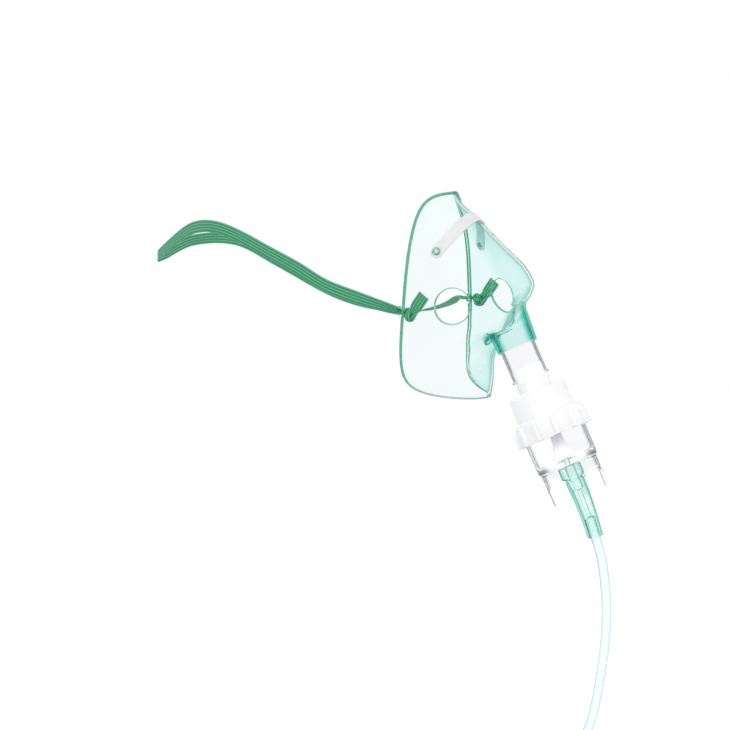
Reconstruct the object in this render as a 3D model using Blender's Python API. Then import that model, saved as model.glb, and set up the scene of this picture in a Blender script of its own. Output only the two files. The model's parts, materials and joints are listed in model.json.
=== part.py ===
"""Aerosol oxygen mask as it is worn, with its jet nebuliser and its supply tube.

All driving sizes are in millimetres. +Z is up, the front of the mask faces -Y, and +X is its left side
as seen from behind it. The origin is in the middle of the mask's open back, at the height of the strap.
"""
import math
from collections import namedtuple

import bpy
import bmesh
from mathutils import Matrix, Quaternion, Vector
from mathutils.bvhtree import BVHTree

MM = 0.001

# Clearances
FIT = 0.3            # gap between two pieces that are pushed together or lie on each other
RUN = 0.35           # gap between the jar and the cap that it turns in

# Mask shell
WALL = 1.5           # wall of the soft moulding
RIM_TOP = (-10.0, 69.3)       # y, z of the lip's edge at the top
RIM_CHIN = (-38.0, -56.0)     # y, z of the lip's edge at the bottom
RIM_HALF_WIDTH = 37.8
VENT_RADIUS = 11.0
VENT_CENTRE = (-30.7, 4.3)    # y, z of both vent openings
EYELET_HEIGHT = -1.0          # z of the strap eyelets
EYELET_PAD_RADIUS = 4.6
EYELET_PAD_THICKNESS = 2.6
EYELET_PAD_LIFT = 0.5         # how far the pad stands out of the shell
EYELET_HOLE = (4.8, 4.0)      # height and width of the hole
CUT_REACH = 8.0               # how far the vents' and eyelets' cutters reach on both sides
AROUND = 48                   # points round each section of the shell

# Nose clip
CLIP_LENGTH = 78.0
CLIP_WIDTH = 7.4
CLIP_THICKNESS = 0.9
CLIP_RIDGE_HEIGHT = 55.0      # z at which it crosses the ridge
CLIP_FALL = 61.0              # degrees below level at which it runs back
CLIP_FAN_DEPTH = 24.0         # how deep behind the ridge the lines that lay it fan out
STUD_RADIUS = 1.4
STUD_HEAD_RADIUS = 2.3
STUD_HEAD_HEIGHT = 1.0
STUD_INSET = 4.2              # from the clip's end to the stud's middle

# Elastic strap
STRAP_WIDTH = 7.8
STRAP_THICKNESS = 1.1
STRAP_RIBS = 4
STRAP_LOOP_MIDDLE = 85.0      # y of the middle of the loop, away from which its outer face looks
STRAP_LOOP_START = 12.0       # y behind which that holds
STRAP_LOOP_SHAPE = 0.9        # 1 for a round loop, less for a long one
STRAP_NECK = (3.0, 2.0)       # height and width where it is drawn through the eyelet
KNOT_SIZE = (7.0, 5.0)
STUB_LENGTH = 17.0
STUB_WAY = (0.0, -0.60, 0.80)  # along which the free end beyond the knot stands
KNOT_OUT = 7.6                # from the eyelet to the knot's middle

# Spout and nebuliser: lengths run along the nebuliser's axis from the spout's mouth
SPOUT_MOUTH = (-58.8, -22.2)  # y, z
SPOUT_TILT = 28.2             # degrees forward of straight down
SPOUT_FRONT = 22.5            # free length of the spout on its front side
SPOUT_BACK = 10.0             # and on its back
SPOUT_FLARE = 1.8             # how much wider it is at its root
NECK_RADIUS = 11.0
NECK_WALL = 1.1
NECK_INSERT = 11.0
NECK_LENGTH = 21.0            # visible length
NECK_BEAD = 0.8
SLEEVE_INSERT = 8.0
SLEEVE_WALL = 1.3
COLLAR_STEP = 0.8             # how much wider the collar is than the sleeve that goes into the neck
COLLAR_LENGTH = 7.5
CAP_STEP = 0.9                # how much narrower the cap's drum is than the jar
CAP_LENGTH = 17.0
CAP_WALL = 1.6
CAP_BEVEL = 1.2
GRIP_WALL = 1.85              # wall of the ring round the jar
GRIP_LENGTH = 13.0
GRIP_RIBS = 12
GRIP_RIB_HEIGHT = 2.4
GRIP_RIB_WIDTH = 3.6
GRIP_TURN = 53.0              # degrees, turns ribs, windows and lobes about the axis
JAR_RADIUS = 19.2
JAR_WALL = 1.3
JAR_DEPTH = 16.6              # from the cap's edge to the jar's floor
JAR_INSERT = 11.5             # part of the jar inside the cap's grip ring
FLOOR_THICKNESS = 2.2
SKIRT_STEP = 1.3              # how much narrower the skirt is than the jar
SKIRT_LENGTH = 20.5
WINDOW_WIDTH = 17.0
WINDOW_HEIGHT = 14.0
WINDOW_ARCH = 5.0             # height of the window's rounded top
NOZZLE_HEIGHT = 13.0
NOZZLE_TIP_RADIUS = 1.6
NOZZLE_BASE_RADIUS = 4.6
NOZZLE_BORE = 0.6
SPIGOT_RADIUS = 2.9
SPIGOT_LENGTH = 14.0
SPIGOT_BORE = 1.5
JET_WALL = 1.1
JET_GAP = 0.7
JET_TOP_OVER = 10.0           # how far the sleeve stands above the nozzle
BAFFLE_THICKNESS = 1.4
JET_WINDOW_WIDTH = 3.2        # of the cross slot through which the mist leaves the sleeve

# Tube connectors and tube
LOBE_REACH = 7.2
HEAD_RADIUS = 5.6
HEAD_LENGTH = 8.0
BODY_RADIUS = 6.0
BODY_END_RADIUS = 4.8
BODY_LENGTH = 38.0
FLUTES = 8
FLUTE_DEPTH = 0.45
SOCKET_DEPTH = 12.0
CONNECTOR_SAG = 9.0           # degrees that the soft connector hangs back towards straight down
TUBE_DIAMETER = 6.0
TABLE_HEIGHT = -310.0

# Coil
COIL_MEAN_RADIUS = 33.0
COIL_TURNS_WIDE = 3
COIL_TURNS_HIGH = 3
COIL_CENTRE = (-45.0, -20.0)
TIE_THICKNESS = 0.7
TIE_WIDTH = 9.0
TIE_ANGLE = 270.0
TAIL_ANGLE = 180.0            # degrees round the coil to where the tube leaves it
TAIL_GAP = -0.65              # between the far connector's unfluted radius and the coil

# Each section of the shell runs from a point on the mid-plane above the mouth (ridge) to one below
# it (chin). side: y of the section's sides at its top and bottom. taper narrows the nose end.
Section = namedtuple("Section", "ridge chin side half_width taper top_power chin_power keel_top keel_chin")


def clear_scene():
    for obj in list(bpy.data.objects):
        bpy.data.objects.remove(obj, do_unlink=True)


def make_material(name, colour, roughness, transmission=0.0):
    material = bpy.data.materials.new(name)
    material.use_nodes = True
    shader = material.node_tree.nodes["Principled BSDF"]
    shader.inputs["Base Color"].default_value = (*colour, 1.0)
    shader.inputs["Roughness"].default_value = roughness
    shader.inputs["Metallic"].default_value = 0.0
    shader.inputs["Transmission Weight"].default_value = transmission
    return material


def make_object(name, points, faces, material=None):
    """A mesh object from points in millimetres."""
    mesh = bpy.data.meshes.new(name)
    mesh.from_pydata([Vector(p) * MM for p in points], [], faces)
    mesh.validate()
    mesh.shade_smooth()
    mesh.set_sharp_from_angle(angle=math.radians(35))
    obj = bpy.data.objects.new(name, mesh)
    bpy.context.scene.collection.objects.link(obj)
    if material:
        mesh.materials.append(material)
    return obj


def combine(target, tool, operation):
    """Keep a live Boolean on the target and show the tool as a wire guide only."""
    modifier = target.modifiers.new(f"{operation.lower()} {tool.name}", "BOOLEAN")
    modifier.operation = operation
    modifier.object = tool
    modifier.solver = "EXACT"
    tool.hide_render = True
    tool.display_type = "WIRE"


def spline(rows, t):
    """A Catmull-Rom curve through rows of numbers, read at t from 0 to len(rows) - 1."""
    last = len(rows) - 1
    i = min(int(t), last - 1)
    w = t - i
    a, b, c, d = (rows[max(i - 1, 0)], rows[i], rows[i + 1], rows[min(i + 2, last)])
    return [
        0.5 * (2 * q + (r - p) * w + (2 * p - 5 * q + 4 * r - s) * w ** 2 + (3 * q - p - 3 * r + s) * w ** 3)
        for p, q, r, s in zip(a, b, c, d)
    ]


def turned(outline, segments, centre_at=None, radius_at=None):
    """Points and faces of a closed outline of (radius, height) turned about the z axis.

    centre_at(height) gives the matrix of a bent axis, radius_at(index, angle) the local radius.
    """
    points = []
    for index, (radius, height) in enumerate(outline):
        frame = centre_at(height) if centre_at else Matrix.Translation((0, 0, height))
        for step in range(segments):
            angle = 2 * math.pi * step / segments
            reach = radius_at(index, angle) if radius_at else radius
            points.append(frame @ Vector((reach * math.cos(angle), reach * math.sin(angle), 0)))
    faces = []
    count = len(outline)
    for index in range(count):
        other = (index + 1) % count
        for step in range(segments):
            right = (step + 1) % segments
            faces.append((index * segments + step, other * segments + step,
                          other * segments + right, index * segments + right))
    return points, faces


def swept(rings, closed_ends=True):
    """Points and faces of a solid through rings that all have the same number of points."""
    count = len(rings[0])
    points = [p for ring in rings for p in ring]
    faces = []
    for row in range(len(rings) - 1):
        for step in range(count):
            right = (step + 1) % count
            faces.append((row * count + step, row * count + right,
                          (row + 1) * count + right, (row + 1) * count + step))
    if closed_ends:
        faces.append(tuple(reversed(range(count))))
        faces.append(tuple(range((len(rings) - 1) * count, len(rings) * count)))
    return points, faces


def axis_direction():
    tilt = math.radians(SPOUT_TILT)
    return Vector((0, -math.sin(tilt), -math.cos(tilt)))


def nebuliser_frame():
    """Local z runs down the nebuliser from the spout's mouth, and local x is the mask's left."""
    down = axis_direction()
    across = Vector((1, 0, 0))
    matrix = Matrix((across, down.cross(across), down)).transposed().to_4x4()
    matrix.translation = Vector((0, SPOUT_MOUTH[0], SPOUT_MOUTH[1]))
    return matrix


def on_spout(side, length, flare=0.0):
    """y, z of a point of the spout's front (side 1) or back (side -1), a length above its mouth."""
    tilt = math.radians(SPOUT_TILT)
    radius = NECK_RADIUS + FIT + WALL + flare
    y = SPOUT_MOUTH[0] + length * math.sin(tilt) - side * radius * math.cos(tilt)
    z = SPOUT_MOUTH[1] + length * math.cos(tilt) + side * radius * math.sin(tilt)
    return y, z


def shell_sections():
    spout_radius = NECK_RADIUS + FIT + WALL
    front = on_spout(1, SPOUT_FRONT, SPOUT_FLARE)
    back = on_spout(-1, SPOUT_BACK, SPOUT_FLARE / 2)
    mouth_front = on_spout(1, 0)
    mouth_back = on_spout(-1, 0)
    top, chin, half = RIM_TOP, RIM_CHIN, RIM_HALF_WIDTH
    rows = [
        Section(top, chin, (-1.8, 1.2), half, 0.16, 2.9, 3.6, 4.5, 2.5),
        Section((top[0] - 1.5, top[1] - 2.6), (chin[0] - 1.2, chin[1] + 2.6), (-2.9, -0.1),
                half - 2.4, 0.16, 2.9, 3.6, 4.4, 2.5),
        Section((top[0] - 4.6, top[1] - 5.4), (chin[0] - 1.8, chin[1] + 6), (-5.0, -3.0),
                half - 4.7, 0.20, 2.8, 3.6, 4.0, 2.5),
        Section((-21.6, 58.6), (-39.8, -43.6), (-12.0, -11.5), 33.4, 0.24, 2.5, 3.0, 3.4, 2.2),
        Section((-33.0, 50.2), (-38.0, -35.3), (-22.0, -20.0), 32.6, 0.28, 2.3, 2.8, 2.6, 1.9),
        Section((-47.4, 38.8), (-36.4, -28.3), (-31.0, -28.0), 31.6, 0.27, 2.1, 2.6, 1.8, 1.6),
        Section((-61.6, 27.8), (-37.0, -22.6), (-39.0, -33.0), 29.6, 0.20, 2.0, 2.3, 1.4, 1.3),
        Section((-68.4, 17.0), (-39.4, -18.8), (-46.0, -37.0), 25.6, 0.10, 2.0, 2.1, 1.1, 1.1),
        Section((-65.0, 7.6), (-42.4, -17.0), (-51.0, -41.0), 19.4, 0.03, 2.0, 2.0, 1.0, 1.0),
        Section(front, back, (front[0], back[0]), spout_radius, 0.0, 2.0, 2.0, 1.0, 1.0),
        Section(mouth_front, mouth_back, (mouth_front[0], mouth_back[0]), spout_radius,
                0.0, 2.0, 2.0, 1.0, 1.0),
    ]
    return [flat_row(row) for row in rows]


def flat_row(section):
    values = []
    for value in section:
        values.extend(value if isinstance(value, tuple) else (value,))
    return values


def section_point(row, angle):
    """A point of the shell's outer face on its left: angle 0 is the ridge and pi the chin."""
    ridge_y, ridge_z, chin_y, chin_z, side_top, side_chin, half, taper, n_top, n_chin, q_top, q_chin = row
    upper = math.cos(angle) >= 0
    power = n_top if upper else n_chin
    keel = q_top if upper else q_chin
    reach = (abs(math.cos(angle)) ** power + abs(math.sin(angle)) ** power) ** (-1 / power)
    up = reach * math.cos(angle)
    out = min(abs(reach * math.sin(angle)), 1.0)
    middle_y = (ridge_y + chin_y) / 2 + up * (ridge_y - chin_y) / 2
    side_y = (side_top + side_chin) / 2 + up * (side_top - side_chin) / 2
    y = side_y + (1 - out ** 2) ** keel * (middle_y - side_y)
    z = (ridge_z + chin_z) / 2 + up * (ridge_z - chin_z) / 2
    x = half * (1 - taper * up) * out
    return Vector((math.copysign(x, math.sin(angle)), y, z))


def shell_rings():
    rows = shell_sections()
    steps = [2, 1, 2, 2, 2, 2, 3, 2, 2, 1]
    places = [0.0]
    for index, count in enumerate(steps):
        places += [index + (step + 1) / count for step in range(count)]
    rings = []
    for place in places:
        row = spline(rows[:-1], place) if place <= len(rows) - 2 else rows[-1]
        rings.append([section_point(row, 2 * math.pi * step / AROUND) for step in range(AROUND)])
    return rings


def shell_skin():
    """The outer face as a search tree, for whatever sits on the shell."""
    points, faces = swept(shell_rings(), closed_ends=False)
    return BVHTree.FromPolygons(points, [list(face) for face in faces])


def side_hit(skin, y, z):
    """Where a line from the mid-plane to the left meets the shell, and its outward normal."""
    place, normal, _, _ = skin.ray_cast(Vector((0, y, z)), Vector((1, 0, 0)))
    return place, normal if normal.x > 0 else -normal


def facing(normal, place):
    """A matrix at a place with its z along the normal and its x as near to +Z as it can be."""
    z_axis = normal.normalized()
    x_axis = (Vector((0, 0, 1)) - z_axis * z_axis.z).normalized()
    matrix = Matrix((x_axis, z_axis.cross(x_axis), z_axis)).transposed().to_4x4()
    matrix.translation = place
    return matrix


def mirrored(matrix):
    """The same place and direction on the right side."""
    normal = matrix.col[2].to_3d()
    place = matrix.translation
    return facing(Vector((-normal.x, normal.y, normal.z)), Vector((-place.x, place.y, place.z)))


def disc(name, matrix, radius_x, radius_y, low, high, segments=32):
    """A plain or oval disc on a matrix, from low to high along its z."""
    rings = []
    for height in (low, high):
        rings.append([matrix @ Vector((radius_x * math.cos(2 * math.pi * s / segments),
                                       radius_y * math.sin(2 * math.pi * s / segments), height))
                      for s in range(segments)])
    points, faces = swept(rings)
    return make_object(name, points, faces)


def eyelet_frame():
    """Middle of the left eyelet: on the lip's outer face, half way along the lip's width."""
    rows = shell_sections()
    row = spline(rows, 0.75)
    low, high = math.radians(30), math.radians(150)
    for _ in range(30):
        angle = (low + high) / 2
        if section_point(row, angle).z > EYELET_HEIGHT:
            low = angle
        else:
            high = angle
    place = section_point(row, angle)
    across = section_point(spline(rows, 0.2), angle) - section_point(spline(rows, 1.2), angle)
    normal = across.cross(Vector((0, 0, 1)))
    normal.z = 0
    return facing(normal if normal.y < 0 else -normal, place)


def clip_frame(skin):
    """Middle of the fan of lines that lays the clip on the shell, with its plane falling backwards."""
    fall = math.radians(CLIP_FALL)
    back = Vector((0, math.cos(fall), -math.sin(fall)))
    probe = Vector((0, -10, CLIP_RIDGE_HEIGHT))
    ridge, _, _, _ = skin.ray_cast(probe, Vector((0, -1, 0)))
    return ridge + back * CLIP_FAN_DEPTH, back


def clip_line(skin):
    """Points of the clip's middle line on the shell, with their arc lengths from the ridge."""
    centre, back = clip_frame(skin)
    side = Vector((1, 0, 0))
    line = []
    length = 0.0
    for step in range(0, 116):
        angle = math.radians(step)
        ray = -back * math.cos(angle) + side * math.sin(angle)
        place, normal, _, _ = skin.ray_cast(centre, ray)
        if place is None:
            break
        if normal.dot(ray) < 0:
            normal = -normal
        if line:
            length += (place - line[-1][1]).length
        line.append((length, place, normal, ray))
    return line


def clip_point(skin, line, along, across):
    """A point over the shell, along the clip from the ridge and across from its middle line."""
    reach = abs(along)
    index = next(i for i, entry in enumerate(line) if entry[0] >= reach) if reach > 0 else 1
    before, after = line[index - 1], line[index]
    blend = (reach - before[0]) / (after[0] - before[0])
    ray = before[3].lerp(after[3], blend)
    centre, back = clip_frame(skin)
    normal_of_plane = Vector((1, 0, 0)).cross(back)
    place, normal, _, _ = skin.ray_cast(centre + normal_of_plane * across, ray.normalized())
    if normal.dot(ray) < 0:
        normal = -normal
    if along < 0:
        place = Vector((-place.x, place.y, place.z))
        normal = Vector((-normal.x, normal.y, normal.z))
    return place, normal


def stud_frame(skin):
    line = clip_line(skin)
    place, normal = clip_point(skin, line, CLIP_LENGTH / 2 - STUD_INSET, 0)
    return facing(normal, place)


def build_mask_shell(skin):
    green = make_material("mask PVC", (0.32, 0.72, 0.62), 0.25, 0.6)
    points, faces = swept(shell_rings(), closed_ends=False)
    faces = [tuple(reversed(face)) for face in faces]
    shell = make_object("mask_shell", points, faces, green)
    solid = shell.modifiers.new("wall", "SOLIDIFY")
    solid.thickness = WALL * MM
    solid.offset = -1
    solid.use_even_offset = True

    vent, vent_normal = side_hit(skin, *VENT_CENTRE)
    vent_matrix = facing(vent_normal, vent)
    eyelet = eyelet_frame()
    stud = stud_frame(skin)
    head_low = FIT + CLIP_THICKNESS + FIT
    for side, turn in (("left", lambda m: m), ("right", mirrored)):
        pad = disc(f"pad_{side}", turn(eyelet), EYELET_PAD_RADIUS, EYELET_PAD_RADIUS,
                   EYELET_PAD_LIFT - EYELET_PAD_THICKNESS, EYELET_PAD_LIFT, 24)
        combine(shell, pad, "UNION")
        post = disc(f"stud_{side}", turn(stud), STUD_RADIUS, STUD_RADIUS, -0.6, head_low + 0.4, 16)
        combine(shell, post, "UNION")
        head = disc(f"stud_head_{side}", turn(stud), STUD_HEAD_RADIUS, STUD_HEAD_RADIUS, head_low,
                    head_low + STUD_HEAD_HEIGHT, 16)
        combine(shell, head, "UNION")
        hole = disc(f"eyelet_{side}", turn(eyelet), EYELET_HOLE[0] / 2, EYELET_HOLE[1] / 2,
                    -CUT_REACH, CUT_REACH, 20)
        combine(shell, hole, "DIFFERENCE")
        cut = disc(f"vent_{side}", turn(vent_matrix), VENT_RADIUS, VENT_RADIUS, -CUT_REACH, CUT_REACH, 40)
        combine(shell, cut, "DIFFERENCE")
    return shell


def build_nose_clip(skin):
    white = make_material("soft aluminium", (0.86, 0.87, 0.88), 0.35)
    line = clip_line(skin)
    half = CLIP_WIDTH / 2
    lanes = [-half, -half * 0.92, -half * 0.5, 0.0, half * 0.5, half * 0.92, half]
    steps = 32
    lower, upper = [], []
    for step in range(steps + 1):
        share = math.sin(math.pi * (step / steps - 0.5))
        for lane in lanes:
            end = CLIP_LENGTH / 2 - half + math.sqrt(max(half ** 2 - lane ** 2, 0.0))
            place, normal = clip_point(skin, line, end * share, lane)
            lower.append(place + normal * FIT)
            upper.append(place + normal * (FIT + CLIP_THICKNESS))
    points = upper + lower
    row = len(lanes)
    offset = len(upper)
    faces = []
    for step in range(steps):
        for lane in range(row - 1):
            a = step * row + lane
            faces.append((a, a + 1, a + row + 1, a + row))
            faces.append((offset + a, offset + a + row, offset + a + row + 1, offset + a + 1))
    for step in range(steps):
        for edge, flip in ((0, False), (row - 1, True)):
            a = step * row + edge
            b = a + row
            quad = (a, b, offset + b, offset + a)
            faces.append(tuple(reversed(quad)) if flip else quad)
    for lane in range(row - 1):
        for base, flip in ((0, True), (steps * row, False)):
            a = base + lane
            quad = (a, a + 1, offset + a + 1, offset + a)
            faces.append(tuple(reversed(quad)) if flip else quad)
    clip = make_object("nose_clip", points, faces, white)
    orient(clip)
    stud = stud_frame(skin)
    for side, turn in (("left", lambda m: m), ("right", mirrored)):
        hole = disc(f"clip_hole_{side}", turn(stud), STUD_RADIUS + FIT, STUD_RADIUS + FIT, -2, 4, 20)
        combine(clip, hole, "DIFFERENCE")
    return clip


def orient(obj):
    """Turn all faces of a closed mesh outwards."""
    mesh = bmesh.new()
    mesh.from_mesh(obj.data)
    bmesh.ops.recalc_face_normals(mesh, faces=mesh.faces)
    mesh.to_mesh(obj.data)
    mesh.free()


def strap_end(side, twist=0.0):
    """The strap's rows from inside the mask through an eyelet to the end of its stub.

    Each row is x, y, z, the half width, the half thickness and a twist in degrees.
    """
    wide, thick = STRAP_WIDTH / 2, STRAP_THICKNESS / 2
    neck_w, neck_t = STRAP_NECK[0] / 2, STRAP_NECK[1] / 2
    knot_w, knot_t = KNOT_SIZE[0] / 2, KNOT_SIZE[1] / 2
    hole = eyelet_frame()
    out = hole.col[2].to_3d()
    middle = hole.translation - out * (WALL / 2)
    knot = middle + out * KNOT_OUT + Vector((0.9, 0, -2.0))
    stub_way = Vector(STUB_WAY)
    rows = [
        (middle - out * 9 + Vector((3.2, 0, 0)), (wide + neck_w) / 2, (thick + neck_t) / 2),
        (middle - out * 4, neck_w, neck_t),
        (middle, neck_w, neck_t),
        (middle + out * 3.4, neck_w, neck_t),
        (knot - out * 1.5, knot_w, knot_t),
        (knot + stub_way * 2.0, knot_w, knot_t),
        (knot + stub_way * 5.0, wide * 0.8, thick * 1.6),
        (knot + stub_way * 8.0, wide, thick),
        (knot + stub_way * STUB_LENGTH, wide, thick),
    ]
    twists = [twist, twist, twist, twist / 2] + [0.0] * 5
    return [(side * place.x, place.y, place.z, w, t, turn) for (place, w, t), turn in zip(rows, twists)]


# Route of the strap behind the mask from its right eyelet to its left one: x, y, z and a twist in
# degrees. It runs high on the right and low on the left, where it turns flat before the eyelet.
STRAP_ROUTE = [
    (-51, 24.5, 6.7, 0), (-61, 43, 14.5, 0), (-69.5, 58, 25, 0), (-75, 76, 34, 0),
    (-78, 94, 42, 0), (-80, 110, 47, 0), (-82, 124, 47.5, 0), (-78, 142, 42, 0),
    (-63, 178, 24.5, 0), (-38, 197, 21, 0), (0, 204, 27, 0), (38, 197, 24, 0),
    (63, 178, 7, 0), (78, 145, -12, 0), (80, 112, -20, 30), (76, 80, -21.5, 86),
    (65, 50, -16.5, 86), (52, 25, -8.5, 86),
]


def strap_section(half_width, half_thick):
    """Outline of the elastic: rounded ribs run along its outer face."""
    outline = [(-half_width, -half_thick), (half_width, -half_thick)]
    points_per_rib = 2
    total = STRAP_RIBS * points_per_rib
    for index in range(total + 1):
        across = half_width * (1 - 2 * index / total)
        groove = index % points_per_rib == 0
        outline.append((across, half_thick * (0.35 if groove else 1.0)))
    return outline


def build_elastic_strap():
    green = make_material("green elastic", (0.05, 0.30, 0.18), 0.8)
    wide, thick = STRAP_WIDTH / 2, STRAP_THICKNESS / 2
    route = [(x, y, z, wide, thick, twist) for x, y, z, twist in STRAP_ROUTE]
    rows = list(reversed(strap_end(-1))) + route + strap_end(1, STRAP_ROUTE[-1][3])
    per_span = 2
    samples = [spline(rows, index / per_span) for index in range((len(rows) - 1) * per_span + 1)]
    rings = []
    for index, row in enumerate(samples):
        here = Vector(row[:3])
        before = Vector(samples[max(index - 1, 0)][:3])
        after = Vector(samples[min(index + 1, len(samples) - 1)][:3])
        along = (after - before).normalized()
        behind = here.y > STRAP_LOOP_START
        lean = STRAP_LOOP_SHAPE * (here.y - STRAP_LOOP_MIDDLE)
        outward = Vector((here.x, lean, 0)) if behind else Vector((here.x, -6, 0))
        outward = (outward - along * outward.dot(along)).normalized()
        outward.rotate(Quaternion(along, math.radians(row[5])))
        up = along.cross(outward)
        outline = strap_section(max(row[3], 0.8), max(row[4], 0.4))
        rings.append([here + up * across + outward * lift for across, lift in outline])
    points, faces = swept(rings)
    strap = make_object("elastic_strap", points, faces, green)
    orient(strap)
    return strap


def place_turned(name, outline, material, segments=48, **options):
    points, faces = turned(outline, segments, **options)
    frame = nebuliser_frame()
    obj = make_object(name, [frame @ Vector(p) for p in points], faces, material)
    orient(obj)
    return obj


def build_outlet_neck():
    clear = make_material("clear tube plastic", (0.92, 0.95, 0.96), 0.1, 0.9)
    bore = NECK_RADIUS - NECK_WALL
    outline = [
        (bore, -NECK_INSERT), (NECK_RADIUS - 0.4, -NECK_INSERT), (NECK_RADIUS, -NECK_INSERT + 0.8),
        (NECK_RADIUS, NECK_LENGTH - 1.6), (NECK_RADIUS + NECK_BEAD, NECK_LENGTH - 1.3),
        (NECK_RADIUS + NECK_BEAD, NECK_LENGTH), (bore, NECK_LENGTH),
    ]
    return place_turned("outlet_neck", outline, clear)


def cap_levels():
    """Places along the axis of the cap's steps."""
    collar = NECK_LENGTH + FIT
    shoulder = collar + COLLAR_LENGTH
    grip = shoulder + CAP_LENGTH
    edge = grip + GRIP_LENGTH
    return collar, shoulder, grip, edge


def build_cap():
    white = make_material("white polypropylene", (0.93, 0.93, 0.93), 0.4)
    collar, shoulder, grip, edge = cap_levels()
    sleeve = NECK_RADIUS - NECK_WALL - FIT
    bore = sleeve - SLEEVE_WALL
    collar_radius = sleeve + COLLAR_STEP
    drum = JAR_RADIUS - CAP_STEP
    chamber = drum - CAP_WALL
    jar_bore = JAR_RADIUS + RUN
    ring = jar_bore + GRIP_WALL
    jar_stop = edge - JAR_INSERT - FIT
    outline = [
        (bore, collar - SLEEVE_INSERT), (sleeve, collar - SLEEVE_INSERT), (sleeve, collar),
        (collar_radius, collar), (collar_radius, shoulder),
        (drum - CAP_BEVEL, shoulder), (drum, shoulder + CAP_BEVEL), (drum, grip - CAP_BEVEL),
        (ring, grip), (ring, edge), (jar_bore, edge), (jar_bore, jar_stop), (chamber, jar_stop),
        (chamber, shoulder + CAP_WALL), (bore, shoulder + CAP_WALL),
    ]
    cap = place_turned("nebulizer_cap", outline, white, 48)
    frame = nebuliser_frame()
    reach = ring + GRIP_RIB_HEIGHT
    root = ring - GRIP_WALL / 2
    for index in range(GRIP_RIBS):
        angle = math.radians(GRIP_TURN) + 2 * math.pi * index / GRIP_RIBS
        turn = frame @ Matrix.Rotation(angle, 4, "Z")
        wide, narrow = GRIP_RIB_WIDTH / 2, GRIP_RIB_WIDTH / 3
        rings = []
        for height, lift in ((grip + 0.4, 0.8), (grip + 1.2, 0.0), (edge - 0.2, 0.0)):
            rings.append([turn @ Vector(p) for p in (
                (root, wide, height), (root, -wide, height),
                (reach - lift, -narrow, height), (reach - lift, narrow, height))])
        points, faces = swept(rings)
        rib = make_object(f"rib_{index}", points, faces)
        orient(rib)
        combine(cap, rib, "UNION")
    return cap


def jar_levels():
    edge = cap_levels()[3]
    floor = edge + JAR_DEPTH
    return edge - JAR_INSERT, floor, floor + FLOOR_THICKNESS


def build_jar():
    clear = make_material("clear polystyrene", (0.93, 0.95, 0.96), 0.08, 0.9)
    rim, floor, under = jar_levels()
    inner = JAR_RADIUS - JAR_WALL
    foot = under + SKIRT_LENGTH
    skirt = JAR_RADIUS - SKIRT_STEP
    skirt_inner = skirt - JAR_WALL
    tip = floor - NOZZLE_HEIGHT
    outline = [
        (inner, rim), (JAR_RADIUS, rim), (JAR_RADIUS, floor), (JAR_RADIUS - 0.4, under),
        (skirt, under + 0.8), (skirt - 0.3, foot), (skirt_inner - 0.3, foot),
        (skirt_inner, under), (SPIGOT_RADIUS, under), (SPIGOT_RADIUS - 0.2, under + SPIGOT_LENGTH - 2),
        (SPIGOT_RADIUS - 0.7, under + SPIGOT_LENGTH), (SPIGOT_BORE, under + SPIGOT_LENGTH),
        (SPIGOT_BORE, tip + 4.0), (NOZZLE_BORE, tip + 2.4), (NOZZLE_BORE, tip),
        (NOZZLE_TIP_RADIUS, tip), (NOZZLE_BASE_RADIUS, floor - 1.0), (NOZZLE_BASE_RADIUS + 1.0, floor),
        (inner - 2.5, floor - 0.4), (inner - 0.6, floor - 1.4), (inner, floor - 3.5),
    ]
    jar = place_turned("nebulizer_jar", outline, clear, 40)
    frame = nebuliser_frame()
    top = foot - WINDOW_HEIGHT
    for index in range(2):
        turn = frame @ Matrix.Rotation(math.radians(GRIP_TURN + 45 + 90 * index), 4, "Z")
        rings = []
        arch = 8
        for reach in (-30, 30):
            ring = [(WINDOW_WIDTH / 2, foot + 4), (-WINDOW_WIDTH / 2, foot + 4)]
            for step in range(arch + 1):
                angle = math.pi * (1 - step / arch)
                ring.append((WINDOW_WIDTH / 2 * math.cos(angle), top + WINDOW_ARCH * (1 - math.sin(angle))))
            rings.append([turn @ Vector((reach, across, height)) for across, height in ring])
        points, faces = swept(rings)
        window = make_object(f"window_{index}", points, faces)
        orient(window)
        combine(jar, window, "DIFFERENCE")
    return jar


def build_jet_sleeve():
    white = make_material("white jet polypropylene", (0.9, 0.91, 0.92), 0.4)
    _, floor, _ = jar_levels()
    tip = floor - NOZZLE_HEIGHT
    top = tip - JET_TOP_OVER
    inner_tip = NOZZLE_TIP_RADIUS + JET_GAP
    inner_base = NOZZLE_BASE_RADIUS + JET_GAP
    foot = floor - 1.6
    outline = [
        (0, top), (inner_tip + JET_WALL - 0.5, top), (inner_tip + JET_WALL, top + 0.5),
        (inner_tip + JET_WALL + 0.4, tip), (inner_base + JET_WALL, foot), (inner_base, foot),
        (inner_tip, tip), (inner_tip, top + BAFFLE_THICKNESS), (0, top + BAFFLE_THICKNESS),
    ]
    points, faces = capped_turn(outline, 32)
    frame = nebuliser_frame()
    sleeve = make_object("jet_sleeve", [frame @ Vector(p) for p in points], faces, white)
    orient(sleeve)
    half = JET_WINDOW_WIDTH / 2
    slot_top, slot_end = top + BAFFLE_THICKNESS + 0.6, tip - 2.0
    rings = []
    for reach in (-12, 12):
        rings.append([frame @ Vector((across, reach, height)) for across, height in (
            (half, slot_top), (half, slot_end), (-half, slot_end), (-half, slot_top))])
    points, faces = swept(rings)
    window = make_object("jet_window", points, faces)
    orient(window)
    combine(sleeve, window, "DIFFERENCE")
    return sleeve


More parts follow.
